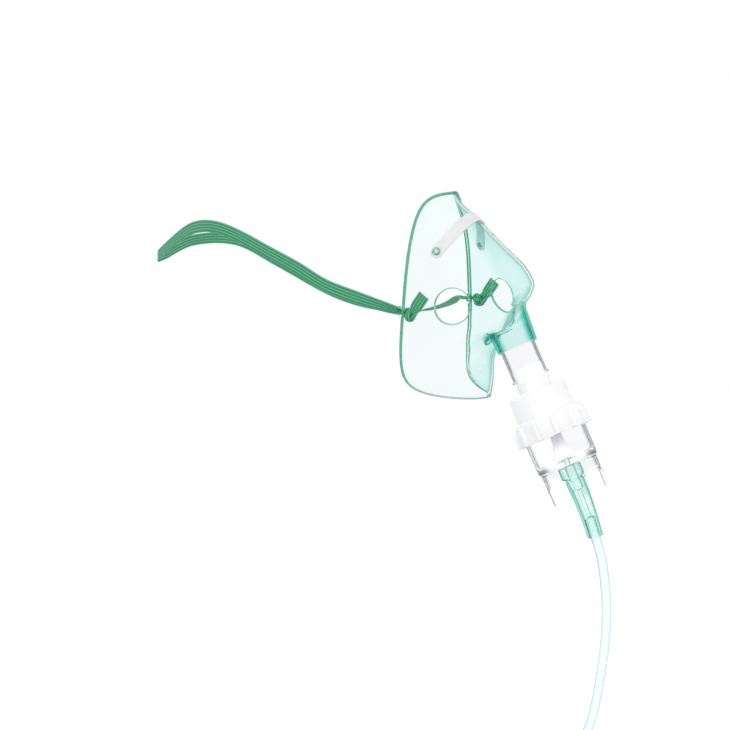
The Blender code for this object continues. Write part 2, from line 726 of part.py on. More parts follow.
def capped_turn(outline, segments):
    """A turned solid whose first and last outline points lie on the axis."""
    points = [Vector((0, 0, outline[0][1]))]
    rings = outline[1:-1]
    for radius, height in rings:
        for step in range(segments):
            angle = 2 * math.pi * step / segments
            points.append(Vector((radius * math.cos(angle), radius * math.sin(angle), height)))
    points.append(Vector((0, 0, outline[-1][1])))
    faces = []
    last = len(points) - 1
    for step in range(segments):
        right = (step + 1) % segments
        faces.append((0, 1 + right, 1 + step))
        base = 1 + (len(rings) - 1) * segments
        faces.append((last, base + step, base + right))
        for index in range(len(rings) - 1):
            low, high = 1 + index * segments, 1 + (index + 1) * segments
            faces.append((low + step, low + right, high + right, high + step))
    return points, faces


def connector_mesh(bend, lobe_turn=0.0):
    """The funnel connector about its own axis from its open top, bent and its lobes turned, in degrees."""
    total = HEAD_LENGTH + BODY_LENGTH
    start = SPIGOT_LENGTH + 1.0

    def centre_at(height):
        if height <= start:
            return Matrix.Translation((0, 0, height))
        share = (height - start) / (total - start)
        angle = math.radians(bend) * share
        run = height - start
        shift = -run * math.sin(angle / 2)
        matrix = Matrix.Translation((0, shift, start + run * math.cos(angle / 2)))
        return matrix @ Matrix.Rotation(angle, 4, "X")

    spigot_bore = SPIGOT_RADIUS + FIT
    socket = TUBE_DIAMETER / 2 + FIT
    outer = [(HEAD_RADIUS - 0.5, 0.0), (HEAD_RADIUS, 0.6), (HEAD_RADIUS, HEAD_LENGTH - 0.8),
             (HEAD_RADIUS - 0.4, HEAD_LENGTH), (BODY_RADIUS - 0.9, HEAD_LENGTH + 0.5),
             (BODY_RADIUS, HEAD_LENGTH + 1.6)]
    body_rings = 5
    for step in range(1, body_rings + 1):
        share = step / body_rings
        outer.append((BODY_RADIUS + (BODY_END_RADIUS - BODY_RADIUS) * share,
                      HEAD_LENGTH + 1.6 + (BODY_LENGTH - 1.6) * share))
    inner = [(socket, total), (socket, total - SOCKET_DEPTH), (SPIGOT_BORE, total - SOCKET_DEPTH - 1),
             (SPIGOT_BORE, start + 1), (spigot_bore, start), (spigot_bore, 0.0)]
    outline = outer + inner
    lobed = range(0, 4)
    fluted = range(5, len(outer))

    def radius_at(index, angle):
        radius = outline[index][0]
        if index in lobed:
            return radius + (LOBE_REACH - HEAD_RADIUS) * abs(math.cos(angle - math.radians(lobe_turn))) ** 6
        if index in fluted:
            return radius - FLUTE_DEPTH * (0.5 - 0.5 * math.cos(FLUTES * angle))
        return radius

    points, faces = turned(outline, 40, centre_at, radius_at)
    return points, faces, centre_at


def connector_start():
    return jar_levels()[2] + FIT


def build_tube_connector():
    green = make_material("green vinyl", (0.10, 0.52, 0.42), 0.35, 0.3)
    points, faces, _ = connector_mesh(CONNECTOR_SAG, GRIP_TURN)
    frame = nebuliser_frame() @ Matrix.Translation((0, 0, connector_start()))
    connector = make_object("tube_connector", [frame @ Vector(p) for p in points], faces, green)
    orient(connector)
    return connector


def connector_middle(above_end):
    """Matrix of a point on the bent connector's middle line, z along the way out of its lower end."""
    centre_at = connector_mesh(CONNECTOR_SAG)[2]
    place = centre_at(HEAD_LENGTH + BODY_LENGTH - above_end)
    return nebuliser_frame() @ Matrix.Translation((0, 0, connector_start())) @ place


def coil_radii():
    half = COIL_TURNS_WIDE * TUBE_DIAMETER / 2
    return COIL_MEAN_RADIUS - half, COIL_MEAN_RADIUS + half


def coil_bottom():
    """The coil lies on its tie, which lies on the table."""
    return TABLE_HEIGHT + TIE_THICKNESS + 2 * FIT


def tube_route():
    """Hand-chosen points of the hanging tube, from its socket down to the coil's top outer turn."""
    end = connector_middle(0)
    start = end.translation
    way = end.col[2].to_3d()
    depth = SOCKET_DEPTH - FIT
    level = coil_bottom() + (COIL_TURNS_HIGH - 0.5) * TUBE_DIAMETER
    outer = coil_radii()[1]
    lane = outer - TUBE_DIAMETER / 2
    touch = COIL_CENTRE[0] + lane
    clear = math.sqrt((outer + FIT) ** 2 - (lane - TUBE_DIAMETER / 2) ** 2) + 0.1
    return [
        tuple(connector_middle(depth).translation), tuple(connector_middle(depth / 2).translation),
        tuple(start), tuple(start + way * 6), tuple(start + way * 14),
        (0, -121.9, -157), (0, -123.7, -172), (0, -124.0, -189), (0, -122.7, -208),
        (0, -120.2, -227), (-0.2, -116.6, -247), (-0.6, -110.6, -264), (-1.5, -100.5, -278.5),
        (-2.8, -87, -288.5), (-4.4, -71.5, level + 0.5), (touch, COIL_CENTRE[1] - clear - 12, level),
        (touch, COIL_CENTRE[1] - clear, level),
    ]


def build_oxygen_tube():
    clear = make_material("clear vinyl tube", (0.86, 0.93, 0.93), 0.15, 0.8)
    route = tube_route()
    per_span = 4
    samples = [spline(route, i / per_span) for i in range((len(route) - 1) * per_span + 1)]
    curve = bpy.data.curves.new("oxygen_tube", "CURVE")
    curve.dimensions = "3D"
    line = curve.splines.new("POLY")
    line.points.add(len(samples) - 1)
    for point, sample in zip(line.points, samples):
        point.co = (*[value * MM for value in sample], 1.0)
    curve.bevel_depth = TUBE_DIAMETER / 2 * MM
    curve.bevel_resolution = 3
    curve.use_fill_caps = True
    curve.materials.append(clear)
    tube = bpy.data.objects.new("oxygen_tube", curve)
    bpy.context.scene.collection.objects.link(tube)
    return tube


def build_tube_coil():
    clear = make_material("clear vinyl coil", (0.84, 0.92, 0.92), 0.15, 0.8)
    inner, outer = coil_radii()
    height = COIL_TURNS_HIGH * TUBE_DIAMETER
    soft = TUBE_DIAMETER / 3
    base = coil_bottom()
    outline = [
        (inner, base + soft), (inner + soft, base), (outer - soft, base), (outer, base + soft),
        (outer, base + height - soft), (outer - soft, base + height),
        (inner + soft, base + height), (inner, base + height - soft),
    ]
    points, faces = turned(outline, 40)
    shift = Vector((COIL_CENTRE[0], COIL_CENTRE[1], 0))
    coil = make_object("tube_coil", [Vector(p) + shift for p in points], faces, clear)
    orient(coil)
    return coil


def build_coil_tie():
    paper = make_material("white tie", (0.9, 0.9, 0.88), 0.6)
    inner, outer = coil_radii()
    base = coil_bottom()
    height = COIL_TURNS_HIGH * TUBE_DIAMETER
    turn = Matrix.Translation((*COIL_CENTRE, 0)) @ Matrix.Rotation(math.radians(TIE_ANGLE), 4, "Z")

    def frame_ring(grow):
        low_r = inner - grow - 0.5
        high_r = outer + grow + 0.5
        return [(low_r, base - grow), (high_r, base - grow), (high_r, base + height + grow),
                (low_r, base + height + grow)]

    loops = []
    for grow in (FIT, FIT + TIE_THICKNESS):
        for side in (-TIE_WIDTH / 2, TIE_WIDTH / 2):
            loops.append([turn @ Vector((r, side, h)) for r, h in frame_ring(grow)])
    inner_a, inner_b, outer_a, outer_b = loops
    points = inner_a + inner_b + outer_b + outer_a
    faces = []
    for row in range(4):
        other = (row + 1) % 4
        for step in range(4):
            right = (step + 1) % 4
            faces.append((row * 4 + step, row * 4 + right, other * 4 + right, other * 4 + step))
    tie = make_object("coil_tie", points, faces, paper)
    orient(tie)
    return tie


def far_connector_matrix():
    """The far connector lies beside the coil, in line with the tube's tail, and leans on the coil."""
    outer = coil_radii()[1]
    lane = outer - TUBE_DIAMETER / 2
    tail = math.sqrt((outer + BODY_END_RADIUS + TAIL_GAP) ** 2 - lane ** 2)
    angle = math.radians(TAIL_ANGLE)
    out = Vector((math.cos(angle), math.sin(angle), 0))
    way = Vector((-math.sin(angle), math.cos(angle), 0))
    centre = Vector((*COIL_CENTRE, 0)) + out * lane + way * tail
    centre.z = TABLE_HEIGHT + BODY_RADIUS + 0.2
    total = HEAD_LENGTH + BODY_LENGTH
    z_axis = -way
    y_axis = Vector((0, 0, 1))
    matrix = Matrix((y_axis.cross(z_axis), y_axis, z_axis)).transposed().to_4x4()
    matrix.translation = centre + way * total
    return matrix


def build_source_connector():
    green = make_material("green vinyl far end", (0.10, 0.52, 0.42), 0.35, 0.3)
    points, faces, _ = connector_mesh(0.0)
    frame = far_connector_matrix()
    connector = make_object("source_connector", [frame @ Vector(p) for p in points], faces, green)
    orient(connector)
    return connector


def main():
    clear_scene()
    skin = shell_skin()
    build_mask_shell(skin)
    build_nose_clip(skin)
    build_elastic_strap()
    build_outlet_neck()
    build_cap()
    build_jar()
    build_jet_sleeve()
    build_tube_connector()
    build_oxygen_tube()
    build_tube_coil()
    build_coil_tie()
    build_source_connector()


main()
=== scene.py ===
# %% [markdown]
# # A clear aerosol mask in Blender
# The object is a soft green-tinted mask with a bendable nose clip, a ribbed elastic strap and a
# tilted nebuliser, from which a thin tube runs down to a tied coil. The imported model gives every
# piece its place and size. Each step below dresses one piece. Sizes are in millimetres unless a
# comment says otherwise, because that is how such products are measured.

# %% Load the frame
import json
import math

import bpy
from mathutils import Matrix, Quaternion, Vector
from mathutils.bvhtree import BVHTree


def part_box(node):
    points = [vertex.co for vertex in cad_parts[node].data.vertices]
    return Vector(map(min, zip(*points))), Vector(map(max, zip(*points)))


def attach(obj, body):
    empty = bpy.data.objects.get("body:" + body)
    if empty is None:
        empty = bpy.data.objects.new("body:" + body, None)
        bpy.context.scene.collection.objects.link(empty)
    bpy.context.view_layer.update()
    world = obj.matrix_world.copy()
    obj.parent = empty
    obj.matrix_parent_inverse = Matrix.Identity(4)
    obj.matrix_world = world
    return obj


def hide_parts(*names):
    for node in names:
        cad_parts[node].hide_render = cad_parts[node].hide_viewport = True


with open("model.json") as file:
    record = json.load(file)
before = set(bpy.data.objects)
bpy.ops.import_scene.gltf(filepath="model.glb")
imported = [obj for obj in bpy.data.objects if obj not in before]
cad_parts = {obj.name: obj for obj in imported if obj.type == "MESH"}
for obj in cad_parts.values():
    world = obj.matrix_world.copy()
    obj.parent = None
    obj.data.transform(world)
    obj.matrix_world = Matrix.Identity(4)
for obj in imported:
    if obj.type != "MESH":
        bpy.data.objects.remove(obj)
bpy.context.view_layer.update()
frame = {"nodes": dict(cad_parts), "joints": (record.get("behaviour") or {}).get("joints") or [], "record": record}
MM = 0.001

# %% [markdown]
# ## The camera
# The mask is seen from its right side and a little from above, close enough for some perspective.
# The camera is placed by two angles and a distance round the origin, which lies in the middle of the
# mask's open back. A lens length follows from the picture's scale: a sensor that is 730 pixels wide
# sees 1.59 pixels for each millimetre at the target.

# %% Camera
PICTURE = 730                 # pixels, the picture is square
ORIGIN_AT = (437.5, 302.7)    # where the frame's origin falls in the picture, in pixels
PIXELS_PER_MM = 1.59
CAMERA_DISTANCE = 1000.0
CAMERA_AZIMUTH = math.radians(-54.0)
CAMERA_ELEVATION = math.radians(10.5)
SENSOR = 36.0

towards_camera = Vector((math.sin(CAMERA_AZIMUTH) * math.cos(CAMERA_ELEVATION),
                         -math.cos(CAMERA_AZIMUTH) * math.cos(CAMERA_ELEVATION),
                         math.sin(CAMERA_ELEVATION)))
picture_right = Vector((math.cos(CAMERA_AZIMUTH), math.sin(CAMERA_AZIMUTH), 0))
picture_up = towards_camera.cross(picture_right)
target = (picture_right * (PICTURE / 2 - ORIGIN_AT[0])
          - picture_up * (PICTURE / 2 - ORIGIN_AT[1])) / PIXELS_PER_MM
bpy.ops.object.camera_add(location=(target + towards_camera * CAMERA_DISTANCE) * MM)
camera = bpy.context.active_object
camera.rotation_mode = "QUATERNION"
camera.rotation_quaternion = (-towards_camera).to_track_quat("-Z", "Y")
camera.data.sensor_width = SENSOR
camera.data.lens = PIXELS_PER_MM * CAMERA_DISTANCE * SENSOR / PICTURE
bpy.context.scene.camera = camera
print("lens, mm:", round(camera.data.lens, 1))

# %% [markdown]
# ## Small helpers
# An operator acts on whatever is selected, so each step first selects one piece only. The faces of a
# finished mesh look outwards, or clear plastic would be shaded inside out. A matrix from three axes
# and a place puts a piece where it belongs, and sizes in millimetres are scaled to metres.

# %% Helpers for pieces
EDGE_ANGLE = 35      # degrees: an edge that turns more than this stays sharp
WELD = 0.001         # points nearer to each other than this are one point


def only(piece):
    bpy.ops.object.select_all(action="DESELECT")
    piece.select_set(True)
    bpy.context.view_layer.objects.active = piece
    return piece


def face_outwards(piece, weld=0.0):
    """Turns all faces outwards, and merges points first if a weld distance is given."""
    only(piece)
    bpy.ops.object.mode_set(mode="EDIT")
    bpy.ops.mesh.select_all(action="SELECT")
    if weld:
        bpy.ops.mesh.remove_doubles(threshold=weld * MM)
    bpy.ops.mesh.normals_make_consistent(inside=False)
    bpy.ops.object.mode_set(mode="OBJECT")


def shade_by_angle(degrees=EDGE_ANGLE):
    bpy.ops.object.shade_smooth_by_angle(angle=math.radians(degrees))


def axes_at(x_axis, y_axis, z_axis, place):
    matrix = Matrix((x_axis, y_axis, z_axis)).transposed().to_4x4()
    matrix.translation = place
    return matrix


def facing(normal, place):
    """A matrix at a place with its z along the normal and its x as near to +Z as it can be."""
    z_axis = normal.normalized()
    x_axis = (Vector((0, 0, 1)) - z_axis * z_axis.z).normalized()
    return axes_at(x_axis, z_axis.cross(x_axis), z_axis, place)


def mirrored(matrix):
    """The same place and facing on the other side of the mask."""
    normal, place = matrix.col[2].to_3d(), matrix.translation
    return facing(Vector((-normal.x, normal.y, normal.z)), Vector((-place.x, place.y, place.z)))


def in_metres(matrix):
    """A matrix in millimetres, for a mesh in metres."""
    return Matrix.Scale(MM, 4) @ matrix @ Matrix.Scale(1 / MM, 4)


# %% [markdown]
# ## Nodes
# A material is a small network of nodes. Each function here adds one kind of node and gives back its
# result, so that a material reads from top to bottom like a formula. Colours are picked as sRGB hex
# values, but a shader wants them linear, so one function turns them.

# %% Helpers for nodes
def linear(hex_colour):
    """An sRGB hex value as linear red, green, blue and 1."""
    parts = [int(hex_colour[i:i + 2], 16) / 255 for i in (1, 3, 5)]
    return (*[c / 12.92 if c <= 0.04045 else ((c + 0.055) / 1.055) ** 2.4 for c in parts], 1.0)


def add_node(tree, kind, inputs=None, **settings):
    """Adds a node. Inputs are values, or sockets to link from."""
    node = tree.nodes.new(kind)
    for name, value in settings.items():
        setattr(node, name, value)
    for name, value in (inputs or {}).items():
        if isinstance(value, bpy.types.NodeSocket):
            tree.links.new(value, node.inputs[name])
        else:
            node.inputs[name].default_value = value
    return node


def new_material(name):
    """An empty material and its node tree."""
    material = bpy.data.materials.new(name)
    material.use_nodes = True
    material.node_tree.nodes.clear()
    return material, material.node_tree


def surface(tree, shader):
    add_node(tree, "ShaderNodeOutputMaterial", {"Surface": shader})


def maths(tree, operation, *values):
    return add_node(tree, "ShaderNodeMath", dict(enumerate(values)), operation=operation).outputs[0]


def vector_maths(tree, operation, *values):
    """The result is a number for a dot product or a length, and a vector for the rest."""
    node = add_node(tree, "ShaderNodeVectorMath", dict(enumerate(values)), operation=operation)
    return node.outputs["Value" if operation in ("DOT_PRODUCT", "LENGTH") else "Vector"]


def map_range(tree, value, low, high, at_low=0.0, at_high=1.0):
    return add_node(tree, "ShaderNodeMapRange", {
        "Value": value, "From Min": low, "From Max": high, "To Min": at_low, "To Max": at_high}).outputs["Result"]


def mix_colours(tree, share, first, second):
    return add_node(tree, "ShaderNodeMix", {0: share, 6: first, 7: second}, data_type="RGBA").outputs[2]


def mix_shaders(tree, share, first, second):
    return add_node(tree, "ShaderNodeMixShader", {0: share, 1: first, 2: second}).outputs["Shader"]


def coordinates(tree, kind="Object"):
    return add_node(tree, "ShaderNodeTexCoord").outputs[kind]


def noise(tree, size_mm, detail):
    """Cloudy noise whose clouds are about size_mm wide."""
    return add_node(tree, "ShaderNodeTexNoise", {
        "Vector": coordinates(tree), "Scale": 1 / (size_mm * MM), "Detail": detail}).outputs["Fac"]


def bump(tree, height, depth_mm, strength=1.0):
    return add_node(tree, "ShaderNodeBump", {
        "Height": height, "Strength": strength, "Distance": depth_mm * MM}).outputs["Normal"]


def ramp(tree, factor, *stops):
    """A colour ramp between (place, hex colour) stops."""
    node = add_node(tree, "ShaderNodeValToRGB", {"Fac": factor})
    first, last = node.color_ramp.elements
    first.position, first.color = stops[0][0], linear(stops[0][1])
    last.position, last.color = stops[-1][0], linear(stops[-1][1])
    for place, colour in stops[1:-1]:
        node.color_ramp.elements.new(place).color = linear(colour)
    return node.outputs["Color"]


# %% [markdown]
# ## Clear plastics
# Soft PVC with a green tint is moulded thin. Seen straight on it is nearly clear, and where the eye
# looks along the wall, at outlines, folds and cut edges, it gathers into a deep green. A glass shader
# bends light as plastic does, and its colour follows the angle of view through Layer Weight. Lamps
# shine through it by a transparent shader for shadow rays, or it would cast a shadow like wood.
# Three settings adapt it: a zone gives a thicker part its own colours, level keeps flat faces pale,
# and mirror tints what the plastic reflects, which is otherwise a hard white.

# %% Function for clear plastics
TURNS = (0.45, 0.82, 1.0)      # how far a face turns from the eye for its pale, middle and edge colour
LEVEL_FACES = (0.6, 0.9)       # how square a face is to an axis to be a little and fully level


def edge_colour(tree, pale, middle, edge, turns=TURNS):
    """A colour by the angle of view: pale straight on, then middle, then edge where it is seen edge-on."""
    turned_away = add_node(tree, "ShaderNodeLayerWeight", {"Blend": 0.5}).outputs["Facing"]
    return ramp(tree, turned_away, (0.0, pale), *zip(turns, (pale, middle, edge)))


def clear_plastic(name, pale, middle, edge, roughness, ior, ripple=0.0, ripple_size=6.0, turns=TURNS,
                  clear=1.0, mirror="#ffffff", zone=None, level=None):
    """Moulded clear plastic. A zone gives a share, where the plastic is thick, and its three colours.

    Faces that are square to the axis given as level stay pale, because light comes straight out of them.
    """
    material, tree = new_material(name)
    colour = edge_colour(tree, pale, middle, edge, turns)
    if zone:
        share, thick_colours, thick_turns = zone
        colour = mix_colours(tree, share(tree), colour, edge_colour(tree, *thick_colours, thick_turns))
    if level:
        square = vector_maths(tree, "DOT_PRODUCT", coordinates(tree, "Normal"), level)
        square = map_range(tree, maths(tree, "ABSOLUTE", square), *LEVEL_FACES)
        colour = mix_colours(tree, square, colour, linear(pale))
    inputs = {"Base Color": colour, "Roughness": roughness, "IOR": ior, "Transmission Weight": clear,
              "Specular Tint": linear(mirror)}
    if ripple:
        inputs["Normal"] = bump(tree, noise(tree, ripple_size, 2.0), ripple)
    plastic = add_node(tree, "ShaderNodeBsdfPrincipled", inputs).outputs["BSDF"]
    through = add_node(tree, "ShaderNodeBsdfTransparent", {"Color": linear(pale)}).outputs["BSDF"]
    shadow = add_node(tree, "ShaderNodeLightPath").outputs["Is Shadow Ray"]
    surface(tree, mix_shaders(tree, shadow, plastic, through))
    return material


# %% [markdown]
# ## Zones
# A part of a moulding can be thicker, and so deeper in colour, than the rest. A zone finds it by its
# place: between two heights, or on the spout. The frame's joint gives the mouth of the spout and the
# axis of the nebuliser, which hangs tilted below it.

# %% Zones of thicker plastic
spout_joint = frame["joints"][0]
spout_mouth = Vector(spout_joint["pos_m"]) / MM
nebuliser_down = Vector(spout_joint["axis"]).normalized()
spout_front = Vector((0, nebuliser_down.z, -nebuliser_down.y))
# Over these heights above the mouth, and these distances from the axis, the spout's zone fades out
SPOUT_HEIGHTS, SPOUT_REACH = (15.0, 18.0), (18.0, 20.0)
SPOUT_SLANT = 0.38     # the plane of the heights leans towards the front, as the spout's root does


def band_share(low_mm, high_mm, soft_mm, way=Vector((0, 0, 1)), start=Vector((0, 0, 0))):
    """A zone for clear_plastic: 1 between two heights, measured along a way from a start, and 0 outside."""
    middle, half = (low_mm + high_mm) / 2, (high_mm - low_mm) / 2

    def share(tree):
        offset = vector_maths(tree, "SUBTRACT", coordinates(tree), start * MM)
        height = vector_maths(tree, "DOT_PRODUCT", offset, way)
        away = maths(tree, "ABSOLUTE", maths(tree, "SUBTRACT", height, middle * MM))
        return map_range(tree, away, (half - soft_mm / 2) * MM, (half + soft_mm / 2) * MM, 1.0, 0.0)
    return share


def spout_share(tree):
    """1 on the spout and 0 on the shell: a slanted plane above the mouth cuts a cylinder about the axis."""
    offset = vector_maths(tree, "SUBTRACT", coordinates(tree), spout_mouth * MM)
    up = -nebuliser_down
    height = vector_maths(tree, "DOT_PRODUCT", offset, up - spout_front * SPOUT_SLANT)
    aside = vector_maths(tree, "LENGTH", vector_maths(tree, "CROSS_PRODUCT", offset, up))
    low = map_range(tree, height, *[value * MM for value in SPOUT_HEIGHTS], 1.0, 0.0)
    near = map_range(tree, aside, *[value * MM for value in SPOUT_REACH], 1.0, 0.0)
    return maths(tree, "MULTIPLY", low, near)


# %% [markdown]
# ## The clear materials
# Each clear piece has its own tint, from nearly colourless polystyrene to deep green vinyl. The three
# colours of each are what the eye sees straight on, at a slant and edge-on.

# %% Materials of clear pieces
# The shell is nearly clear face on and green at its outlines, and its thick spout is greener
mask_pvc = clear_plastic(
    "soft PVC, moulded, green tint", "#f3fcfb", "#c0ebe5", "#68ad9f", 0.05, 1.16, 0.10, 14.0,
    turns=(0.36, 0.60, 0.74), mirror="#9fd0c6",
    zone=(spout_share, ("#eafbf8", "#6cd2c4", "#14a491"), (0.14, 0.38, 0.72)))
# The lip is a deep green line round the open back, which pales to grey under the chin
lip_pvc = clear_plastic(
    "soft PVC, moulded, seen edge-on", "#7cc7ae", "#2f9a7c", "#1a7a60", 0.15, 1.15, clear=0.6,
    zone=(band_share(-100, -46, 12), ("#c3d5cd", "#9db3aa", "#7c958b"), TURNS))
# The vents' rims are a thin line of soft green
vent_pvc = clear_plastic(
    "soft PVC, moulded, thin edge", "#b5ded2", "#7fbfae", "#4c9c88", 0.12, 1.15, clear=0.8)
# The fold behind the spout is a green hook that shows through the shell
root_pvc = clear_plastic(
    "soft PVC, moulded, thick fold", "#a5e6da", "#45c4b0", "#1fa08c", 0.15, 1.12,
    turns=(0.10, 0.40, 0.80), clear=0.8)
# The neck is a bright tube between two narrow grey edges, and white where it sits in the spout
neck_polystyrene = clear_plastic(
    "polystyrene tube, moulded, clear", "#fbfbfd", "#b4b8bd", "#6c7278", 0.04, 1.12,
    turns=(0.42, 0.54, 0.66), mirror="#a0a4a8", level=nebuliser_down,
    zone=(band_share(-20, 0, 0.4, nebuliser_down, spout_mouth), ("#fbfbfd", "#f3f4f6", "#dde1e4"), TURNS))
# The connectors are softly wavy, and deep green where their flutes turn away
funnel_vinyl = clear_plastic(
    "soft vinyl, moulded, clear green", "#effbf8", "#7ed0bb", "#0f7a62", 0.12, 1.10, 0.05, 3.0,
    turns=(0.12, 0.38, 0.80), clear=0.85, mirror="#8fd0c0")
# The studs are small green rings
stud_vinyl = clear_plastic(
    "soft PVC stud, moulded", "#e4f4ef", "#2f9c80", "#0f6a50", 0.12, 1.40, turns=(0.06, 0.22, 0.60))
# The tube is pale and watery, with faint edges
tube_vinyl = clear_plastic(
    "soft vinyl tube, extruded, clear", "#e9f5f9", "#c3dadd", "#8fb0ae", 0.10, 1.15,
    turns=(0.10, 0.45, 0.85), clear=0.8)
print("clear plastics:", len(bpy.data.materials))

# %% [markdown]
# ## White plastics and the clip
# The nebuliser's cap is white polypropylene. Its mould was finely textured, so highlights are broad
# and soft. The nose clip is soft aluminium with a white coat, rolled lengthwise. A fine noise gives
# the grain as bump, and a slow one keeps the white from looking flat.

# %% Materials of white pieces
CLOUD_SIZE = 18        # the slow change of tone


def moulded_white(name, colour, cloud_colour, roughness, grain_mm, depth_mm):
    """White plastic from a finely textured mould, with a slow, faint change of tone."""
    material, tree = new_material(name)
    grain = noise(tree, grain_mm, 3.0)
    tone = ramp(tree, noise(tree, CLOUD_SIZE, 2.0), (0.3, colour), (0.7, cloud_colour))
    surface(tree, add_node(tree, "ShaderNodeBsdfPrincipled", {
        "Base Color": tone, "Roughness": roughness, "IOR": 1.49,
        "Normal": bump(tree, grain, depth_mm)}).outputs["BSDF"])
    return material


# The cap is a cool white with soft highlights
cap_polypropylene = moulded_white("polypropylene, moulded, white", "#eeeef1", "#f3f3f5", 0.42, 0.5, 0.01)
# The jet's sleeve is painted a shade brighter than the cap: painted light that lifts the shade it sits in inside
# the jar
jet_white_painted_brighter = moulded_white("polypropylene jet, moulded, white", "#f8f8fb", "#fbfbfd", 0.45, 0.4, 0.01)
# The clip is a light grey with a little more shine
clip_aluminium = moulded_white("soft aluminium strip, white coat", "#d6d7d7", "#dcdddd", 0.36, 0.8, 0.02)
# The tie is off-white and matt
tie_paper = moulded_white("twist tie, paper over wire", "#dedcd6", "#e6e4de", 0.7, 0.6, 0.05)

# %% [markdown]
# ## The knit
# The strap is knitted elastic: rubber threads make its ribs and green polyester yarn covers them,
# 0.45 mm a stitch. The stitches are a fine wave along the strap's UV. The ribs' heights come
# with the mesh as an attribute, so the grooves between them can show the paler rubber.

# %% Material of the elastic
STITCH = 0.45                 # mm along the strap
STITCH_DEPTH = 0.08
FUZZ_SCALE, FUZZ = 2.2, (0.35, -0.17)      # how fine the yarn's unevenness is, and how much it shades
elastic_knit, tree = new_material("knitted elastic, green polyester yarn")
uv = add_node(tree, "ShaderNodeUVMap", uv_map="strap").outputs["UV"]
length_way = add_node(tree, "ShaderNodeSeparateXYZ", {"Vector": uv}).outputs["Y"]
stitch = maths(tree, "SINE", maths(tree, "MULTIPLY", length_way, 2 * math.pi / STITCH))
fuzz = add_node(tree, "ShaderNodeTexNoise", {"Vector": uv, "Scale": FUZZ_SCALE, "Detail": 4.0}).outputs["Fac"]
rib_tone = add_node(tree, "ShaderNodeAttribute", attribute_name="rib").outputs["Fac"]
shade = maths(tree, "ADD", rib_tone, maths(tree, "MULTIPLY_ADD", fuzz, *FUZZ))
# Dark green ribs with paler grooves between them
knit_colour = ramp(tree, shade, (0.0, "#78c49f"), (0.3, "#409a70"), (0.6, "#2b7f59"), (1.0, "#378f67"))
surface(tree, add_node(tree, "ShaderNodeBsdfPrincipled", {
    "Base Color": knit_colour, "Roughness": 0.75, "Sheen Weight": 0.08, "Sheen Roughness": 0.5,
    "Normal": bump(tree, stitch, STITCH_DEPTH, 0.6)}).outputs["BSDF"])
print("materials:", len(bpy.data.materials))

# %% [markdown]
# ## The shell's form
# The mask is a lofted form: wide and flat at the lip, narrow at the bridge of the nose, and round at
# the spout. Eleven sections describe it. Each runs from a point on the middle line above the mouth,
# the ridge, to one below it, the chin, and a smooth curve through the sections gives all others.

# %% Sections of the shell
WALL = 1.5
SPOUT_FRONT, SPOUT_BACK, SPOUT_FLARE = 22.5, 10.0, 1.8
RIM_TOP, RIM_CHIN, RIM_HALF_WIDTH = (-10.0, 69.3), (-38.0, -56.0), 37.8
NECK_RADIUS = 11.0
FIT = 0.3              # the clearance of parts that are pushed together
spout_radius = NECK_RADIUS + FIT + WALL


def on_spout(side, length, flare=0.0):
    """y, z of a point of the spout's front (side 1) or back (side -1), a length above its mouth."""
    place = spout_mouth - nebuliser_down * length
    across = spout_front * (spout_radius + flare) * side
    return place.y + across.y, place.z + across.z


def spout_section(length, flare_front, flare_back):
    front, back = on_spout(1, length[0], flare_front), on_spout(-1, length[1], flare_back)
    return [*front, *back, front[0], back[0], spout_radius, 0.0, 2.0, 2.0, 1.0, 1.0]


# ridge y and z, chin y and z, y of the sides at top and bottom, half width, taper, two powers, two keels
SECTIONS = [
    [*RIM_TOP, *RIM_CHIN, -1.8, 1.2, RIM_HALF_WIDTH, 0.16, 2.9, 3.6, 4.5, 2.5],
    [-11.5, 66.7, -39.2, -53.4, -2.9, -0.1, RIM_HALF_WIDTH - 2.4, 0.16, 2.9, 3.6, 4.4, 2.5],
    [-14.6, 63.9, -39.8, -50.0, -5.0, -3.0, RIM_HALF_WIDTH - 4.7, 0.20, 2.8, 3.6, 4.0, 2.5],
    [-21.6, 58.6, -39.8, -43.6, -12.0, -11.5, 33.4, 0.24, 2.5, 3.0, 3.4, 2.2],
    [-33.0, 50.2, -38.0, -35.3, -22.0, -20.0, 32.6, 0.28, 2.3, 2.8, 2.6, 1.9],
    [-47.4, 38.8, -36.4, -28.3, -31.0, -28.0, 31.6, 0.27, 2.1, 2.6, 1.8, 1.6],
    [-61.6, 27.8, -37.0, -22.6, -39.0, -33.0, 29.6, 0.20, 2.0, 2.3, 1.4, 1.3],
    [-68.4, 17.0, -39.4, -18.8, -46.0, -37.0, 25.6, 0.10, 2.0, 2.1, 1.1, 1.1],
    [-65.0, 7.6, -42.4, -17.0, -51.0, -41.0, 19.4, 0.03, 2.0, 2.0, 1.0, 1.0],
    spout_section((SPOUT_FRONT, SPOUT_BACK), SPOUT_FLARE, SPOUT_FLARE / 2),
    spout_section((0, 0), 0.0, 0.0),
]
LAST = len(SECTIONS) - 1


def curve_through(rows, t):
    """A smooth curve through rows of numbers, read at t from 0 to len(rows) - 1."""
    last = len(rows) - 1
    i = min(int(t), last - 1)
    w = t - i
    a, b, c, d = rows[max(i - 1, 0)], rows[i], rows[i + 1], rows[min(i + 2, last)]
    return [0.5 * (2 * q + (r - p) * w + (2 * p - 5 * q + 4 * r - s) * w ** 2 + (3 * q - p - 3 * r + s) * w ** 3)
            for p, q, r, s in zip(a, b, c, d)]


